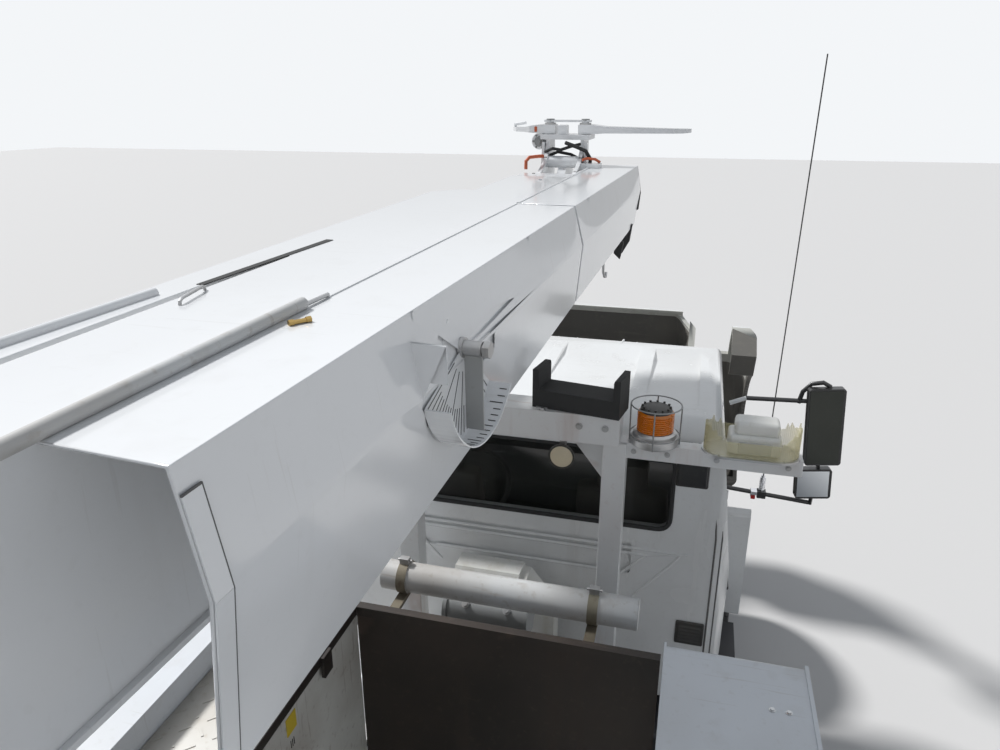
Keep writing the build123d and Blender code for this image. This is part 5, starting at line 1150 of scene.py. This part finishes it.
def make_hood_trim():
    """The hood's headlamps, side lamps and grille bars, placed as they are with the hood shut."""
    trim = Piece(["grille_black", "lens_clear", "rod_chrome", "lens_amber"], HOOD)
    for side in (-1, 1):
        x = side * 840
        trim.use("grille_black")
        trim.box((x - 140, 6262, 905), (x + 140, 6290, 1080), bevel=14)
        trim.use("lens_clear")
        trim.box((x - 122, 6282, 920), (x + 122, 6302, 1066), bevel=9)
        trim.use("rod_chrome")
        trim.rod((x, 6276, 992), (x, 6291, 992), 60, sides=32)
        trim.use("lens_amber")
        trim.side_box(side, (1010, 6180, 930), (1090, 6210, 1060), bevel=8)
    trim.use("grille_black")
    for row in range(13):
        z = 915 + row * 33
        trim.box((-415, 6290, z), (415, 6298, z + 7), bevel=1.5)
    for column in range(11):
        x = -400 + column * 80
        trim.box((x - 4, 6284, 900), (x + 4, 6292, 1340), bevel=1)
    trim.done("grille_and_lamps", "hood")


def make_seats():
    """The two seats: bases, posts and levers, and crowned pads made from subdivided and swelled blocks."""
    frames = Piece(["trim_grey", "grille_black"])
    for x in (-520, 480):
        frames.box((x - 200, 3900, 1024), (x + 200, 4300, 1266), bevel=12)
        for dx in (-60, 60):
            frames.pipe([(x + dx, 3764, 2040), (x + dx, 3758, 2120)], 8)
        frames.use("grille_black")
        frames.pipe([(x + 262, 3960, 1240), (x + 262, 3860, 1330), (x + 262, 3830, 1460)], 12)
        frames.use("trim_grey")
    frames.done("seat_frames", "truck", ("cab_interior",))
    lean = Matrix.Rotation(math.radians(10), 4, "X")
    for word, x in (("left", -520), ("right", 480)):
        pads = (("cushion", (x - 250, 3860, 1262), (x + 250, 4380, 1412), Matrix()),
                ("back", (x - 240, 3765, 1342), (x + 240, 3895, 2102), lean),
                ("headrest", (x - 130, 3705, 2087), (x + 130, 3805, 2257), lean))
        for part, low, high, turn in pads:
            pad = Piece(["seat_cloth"])
            bmesh.ops.create_cube(pad.mesh, size=1.0)
            bmesh.ops.subdivide_edges(pad.mesh, edges=pad.mesh.edges[:], cuts=9, use_grid_fill=True)
            size = [b - a for a, b in zip(low, high)]
            middle = Vector([(a + b) / 2 for a, b in zip(low, high)])
            thin = size.index(min(size))
            wide, tall = (i for i in range(3) if i != thin)
            for vert in pad.mesh.verts:
                p = vert.co * 2
                swell = [1 - 0.10 * (p[(i + 1) % 3] ** 4 + p[(i + 2) % 3] ** 4) / 2 for i in range(3)]
                spot = Vector([p[i] * size[i] / 2 * swell[i] for i in range(3)])
                # A seam is pressed round each face.
                if min(abs(abs(p[wide]) - 0.56), abs(abs(p[tall]) - 0.62)) < 0.06:
                    spot[thin] *= 0.94
                vert.co = middle + turn @ spot
            made = pad.done("seat_%s_%s" % (part, word), "truck", sharp=60)


# Stage
def make_floor():
    """A wide matt floor under the wheels."""
    ground = bmesh.new()
    bmesh.ops.create_grid(ground, x_segments=1, y_segments=1, size=60.0)
    mesh = bpy.data.meshes.new("floor")
    ground.to_mesh(mesh)
    ground.free()
    floor = bpy.data.objects.new("floor", mesh)
    bpy.context.scene.collection.objects.link(floor)
    cover = bpy.data.materials.new("floor_cover")
    cover.use_nodes = True
    shader = cover.node_tree.nodes["Principled BSDF"]
    feed(cover.node_tree, shader, [("Base Color", FLOOR_COLOUR), ("Roughness", 0.9)])
    mesh.materials.append(cover)


def make_light(settings):
    """The main lamp, the even light from all round, and the pale backdrop behind and in reflections."""
    key = bpy.data.lights.new("key", "SUN")
    key.energy = settings.sun
    key.angle = settings.sun_size
    key_light = bpy.data.objects.new("key", key)
    key_light.rotation_euler = Vector(SUN_WAY).to_track_quat("Z", "Y").to_euler()
    bpy.context.scene.collection.objects.link(key_light)

    world = bpy.data.worlds.new("studio")
    bpy.context.scene.world = world
    world.use_nodes = True
    tree = world.node_tree
    light = tree.nodes["Background"]
    feed(tree, light, [("Color", SKY_COLOUR), ("Strength", settings.sky)])
    way = add_node(tree, "ShaderNodeTexCoord").outputs["Generated"]
    height = add_node(tree, "ShaderNodeSeparateXYZ", [(0, way)]).outputs[2]
    shade = mix_colour(tree, ramp(tree, height, 0.0, 0.55), MIRRORED_LOW, MIRRORED_HIGH)
    mirrored = add_node(tree, "ShaderNodeBackground", [("Color", shade), ("Strength", 1.0)])
    backdrop = add_node(tree, "ShaderNodeBackground", [("Color", BACKDROP_COLOUR), ("Strength", 1.0)])
    path = add_node(tree, "ShaderNodeLightPath")
    straight = path.outputs["Is Camera Ray"]
    bounced = maths(tree, "MAXIMUM", path.outputs["Is Glossy Ray"], path.outputs["Is Transmission Ray"])
    shown = add_node(tree, "ShaderNodeMixShader", [
        (0, straight), (1, mirrored.outputs[0]), (2, backdrop.outputs[0])])
    either = maths(tree, "MAXIMUM", straight, bounced)
    whole = add_node(tree, "ShaderNodeMixShader", [(0, either), (1, light.outputs[0]), (2, shown.outputs[0])])
    feed(tree, tree.nodes["World Output"], [("Surface", whole.outputs[0])])


def make_camera():
    """The camera at the photograph's place and angle."""
    lens = bpy.data.cameras.new("camera")
    lens.lens = CAMERA_LENS
    lens.sensor_width = SENSOR_WIDTH
    lens.clip_end = 300.0
    camera = bpy.data.objects.new("camera", lens)
    camera.location = CAMERA_PLACE
    camera.rotation_euler = (math.radians(90 - CAMERA_DOWN), 0, math.radians(CAMERA_LEFT))
    bpy.context.scene.collection.objects.link(camera)
    bpy.context.scene.camera = camera


# Settings that a user would change
class TruckFinish(bpy.types.PropertyGroup):
    """Colours of the paint, and how dirty the truck is"""
    boom_colour: FloatVectorProperty(
        name="Boom colour", description="Paint of the derrick", subtype="COLOR", size=3, min=0.0, max=1.0,
        default=(0.84, 0.85, 0.86))
    cab_colour: FloatVectorProperty(
        name="Cab colour", description="Paint of the cab, its doors and the hood", subtype="COLOR", size=3,
        min=0.0, max=1.0, default=(0.78, 0.79, 0.79))
    body_colour: FloatVectorProperty(
        name="Body colour", description="Paint of the side bins and their doors", subtype="COLOR", size=3,
        min=0.0, max=1.0, default=(0.72, 0.75, 0.79))
    dirt: FloatProperty(
        name="Dirt", description="How much dust and how many stains lie on every surface", subtype="FACTOR",
        min=0.0, max=1.5, default=1.0)


class TruckWheels(bpy.types.PropertyGroup):
    """Counts of the small forms of a wheel"""
    lugs: IntProperty(
        name="Shoulder lugs", description="Rubber blocks round each edge of a tread", min=20, max=60,
        default=44)
    nuts: IntProperty(name="Wheel nuts", description="Nuts round each wheel disc", min=6, max=10, default=10)


class TruckStage(bpy.types.PropertyGroup):
    """Strength and softness of the light"""
    sun: FloatProperty(
        name="Main lamp", description="Strength of the main lamp", min=0.0, max=6.0, default=3.6)
    sun_size: FloatProperty(
        name="Lamp size", description="How wide the main lamp looks, which softens its shadows",
        subtype="ANGLE", min=0.01, max=0.6, default=math.radians(8))
    sky: FloatProperty(
        name="Fill light", description="Strength of the light from all round", min=0.0, max=1.5, default=0.38)


class TRUCK_OT_chassis(bpy.types.Operator):
    """Gives the frame rails, axles, bumpers, legs, engine and tanks their finish"""
    bl_idname = "truck.chassis"
    bl_label = "Chassis"

    def execute(self, context):
        skin_chassis()
        return {"FINISHED"}


class TRUCK_OT_wheels(bpy.types.Operator):
    """Builds the tyres with their tread, the rims, hubs and nuts"""
    bl_idname = "truck.wheels"
    bl_label = "Wheels"

    def execute(self, context):
        make_wheels()
        return {"FINISHED"}


class TRUCK_OT_body(bpy.types.Operator):
    """Finishes the utility body and adds its handles, rivets, tread plate and rear lamps"""
    bl_idname = "truck.body"
    bl_label = "Utility body"

    def execute(self, context):
        skin_body()
        make_behind_cab()
        make_body_trim()
        return {"FINISHED"}


class TRUCK_OT_rack(bpy.types.Operator):
    """Builds the lamps on the rack and the small pieces round them"""
    bl_idname = "truck.rack"
    bl_label = "Rack and lamps"

    def execute(self, context):
        make_lamps()
        make_rack_trim()
        return {"FINISHED"}


class TRUCK_OT_cab(bpy.types.Operator):
    """Finishes the cab, its doors, windows and mirrors"""
    bl_idname = "truck.cab"
    bl_label = "Cab"

    def execute(self, context):
        skin_cab()
        make_cab_trim()
        for node in ("cab_glass", "door_glass_left", "door_glass_right"):
            dress(node, "tinted_window")
        return {"FINISHED"}


class TRUCK_OT_hood(bpy.types.Operator):
    """Adds the grille and lamps of the open hood"""
    bl_idname = "truck.hood"
    bl_label = "Hood"

    def execute(self, context):
        make_hood_trim()
        return {"FINISHED"}


class TRUCK_OT_seats(bpy.types.Operator):
    """Builds the padded seats on their bases and finishes the dashboard"""
    bl_idname = "truck.seats"
    bl_label = "Seats and dashboard"

    def execute(self, context):
        skin("cab_interior", ["trim_grey"], lambda spot, way: None if spot.y < 4390 else "trim_grey")
        make_seats()
        return {"FINISHED"}


class TRUCK_OT_derrick(bpy.types.Operator):
    """Finishes the turret, booms, sheet, auger and winch, and adds their small pieces"""
    bl_idname = "truck.derrick"
    bl_label = "Derrick"

    def execute(self, context):
        skin_derrick()
        make_boom_trim()
        make_indicator()
        make_boom_tip()
        make_winch_rope()
        return {"FINISHED"}


class TRUCK_OT_stage(bpy.types.Operator):
    """Sets the floor, the light and the camera"""
    bl_idname = "truck.stage"
    bl_label = "Stage"

    def execute(self, context):
        make_floor()
        make_light(context.scene.truck_stage)
        make_camera()
        context.scene.view_settings.view_transform = "Standard"
        return {"FINISHED"}


PIECE_OPERATORS = (TRUCK_OT_chassis, TRUCK_OT_wheels, TRUCK_OT_body, TRUCK_OT_rack, TRUCK_OT_cab,
                   TRUCK_OT_hood, TRUCK_OT_seats, TRUCK_OT_derrick, TRUCK_OT_stage)


class TRUCK_PT_pieces(bpy.types.Panel):
    """Lists the settings and the pieces of the truck"""
    bl_idname = "TRUCK_PT_pieces"
    bl_label = "Digger derrick truck"
    bl_space_type = "VIEW_3D"
    bl_region_type = "UI"
    bl_category = "Truck"

    def draw(self, context):
        settings = (("truck_finish", ("boom_colour", "cab_colour", "body_colour", "dirt")),
                    ("truck_wheels", ("lugs", "nuts")), ("truck_stage", ("sun", "sun_size", "sky")))
        for group, fields in settings:
            for field in fields:
                self.layout.prop(getattr(context.scene, group), field)
        for one in PIECE_OPERATORS:
            self.layout.operator(one.bl_idname)


CLASSES = (TruckFinish, TruckWheels, TruckStage) + PIECE_OPERATORS + (TRUCK_PT_pieces,)


def register():
    for one in CLASSES:
        bpy.utils.register_class(one)
    bpy.types.Scene.truck_finish = PointerProperty(type=TruckFinish)
    bpy.types.Scene.truck_wheels = PointerProperty(type=TruckWheels)
    bpy.types.Scene.truck_stage = PointerProperty(type=TruckStage)


def unregister():
    del bpy.types.Scene.truck_stage
    del bpy.types.Scene.truck_wheels
    del bpy.types.Scene.truck_finish
    for one in reversed(CLASSES):
        bpy.utils.unregister_class(one)


def main():
    register()
    make_weather_group()
    bpy.ops.truck.chassis()
    bpy.ops.truck.wheels()
    bpy.ops.truck.body()
    bpy.ops.truck.rack()
    bpy.ops.truck.cab()
    bpy.ops.truck.hood()
    bpy.ops.truck.seats()
    bpy.ops.truck.derrick()
    bpy.ops.truck.stage()


if __name__ == "__main__":
    main()
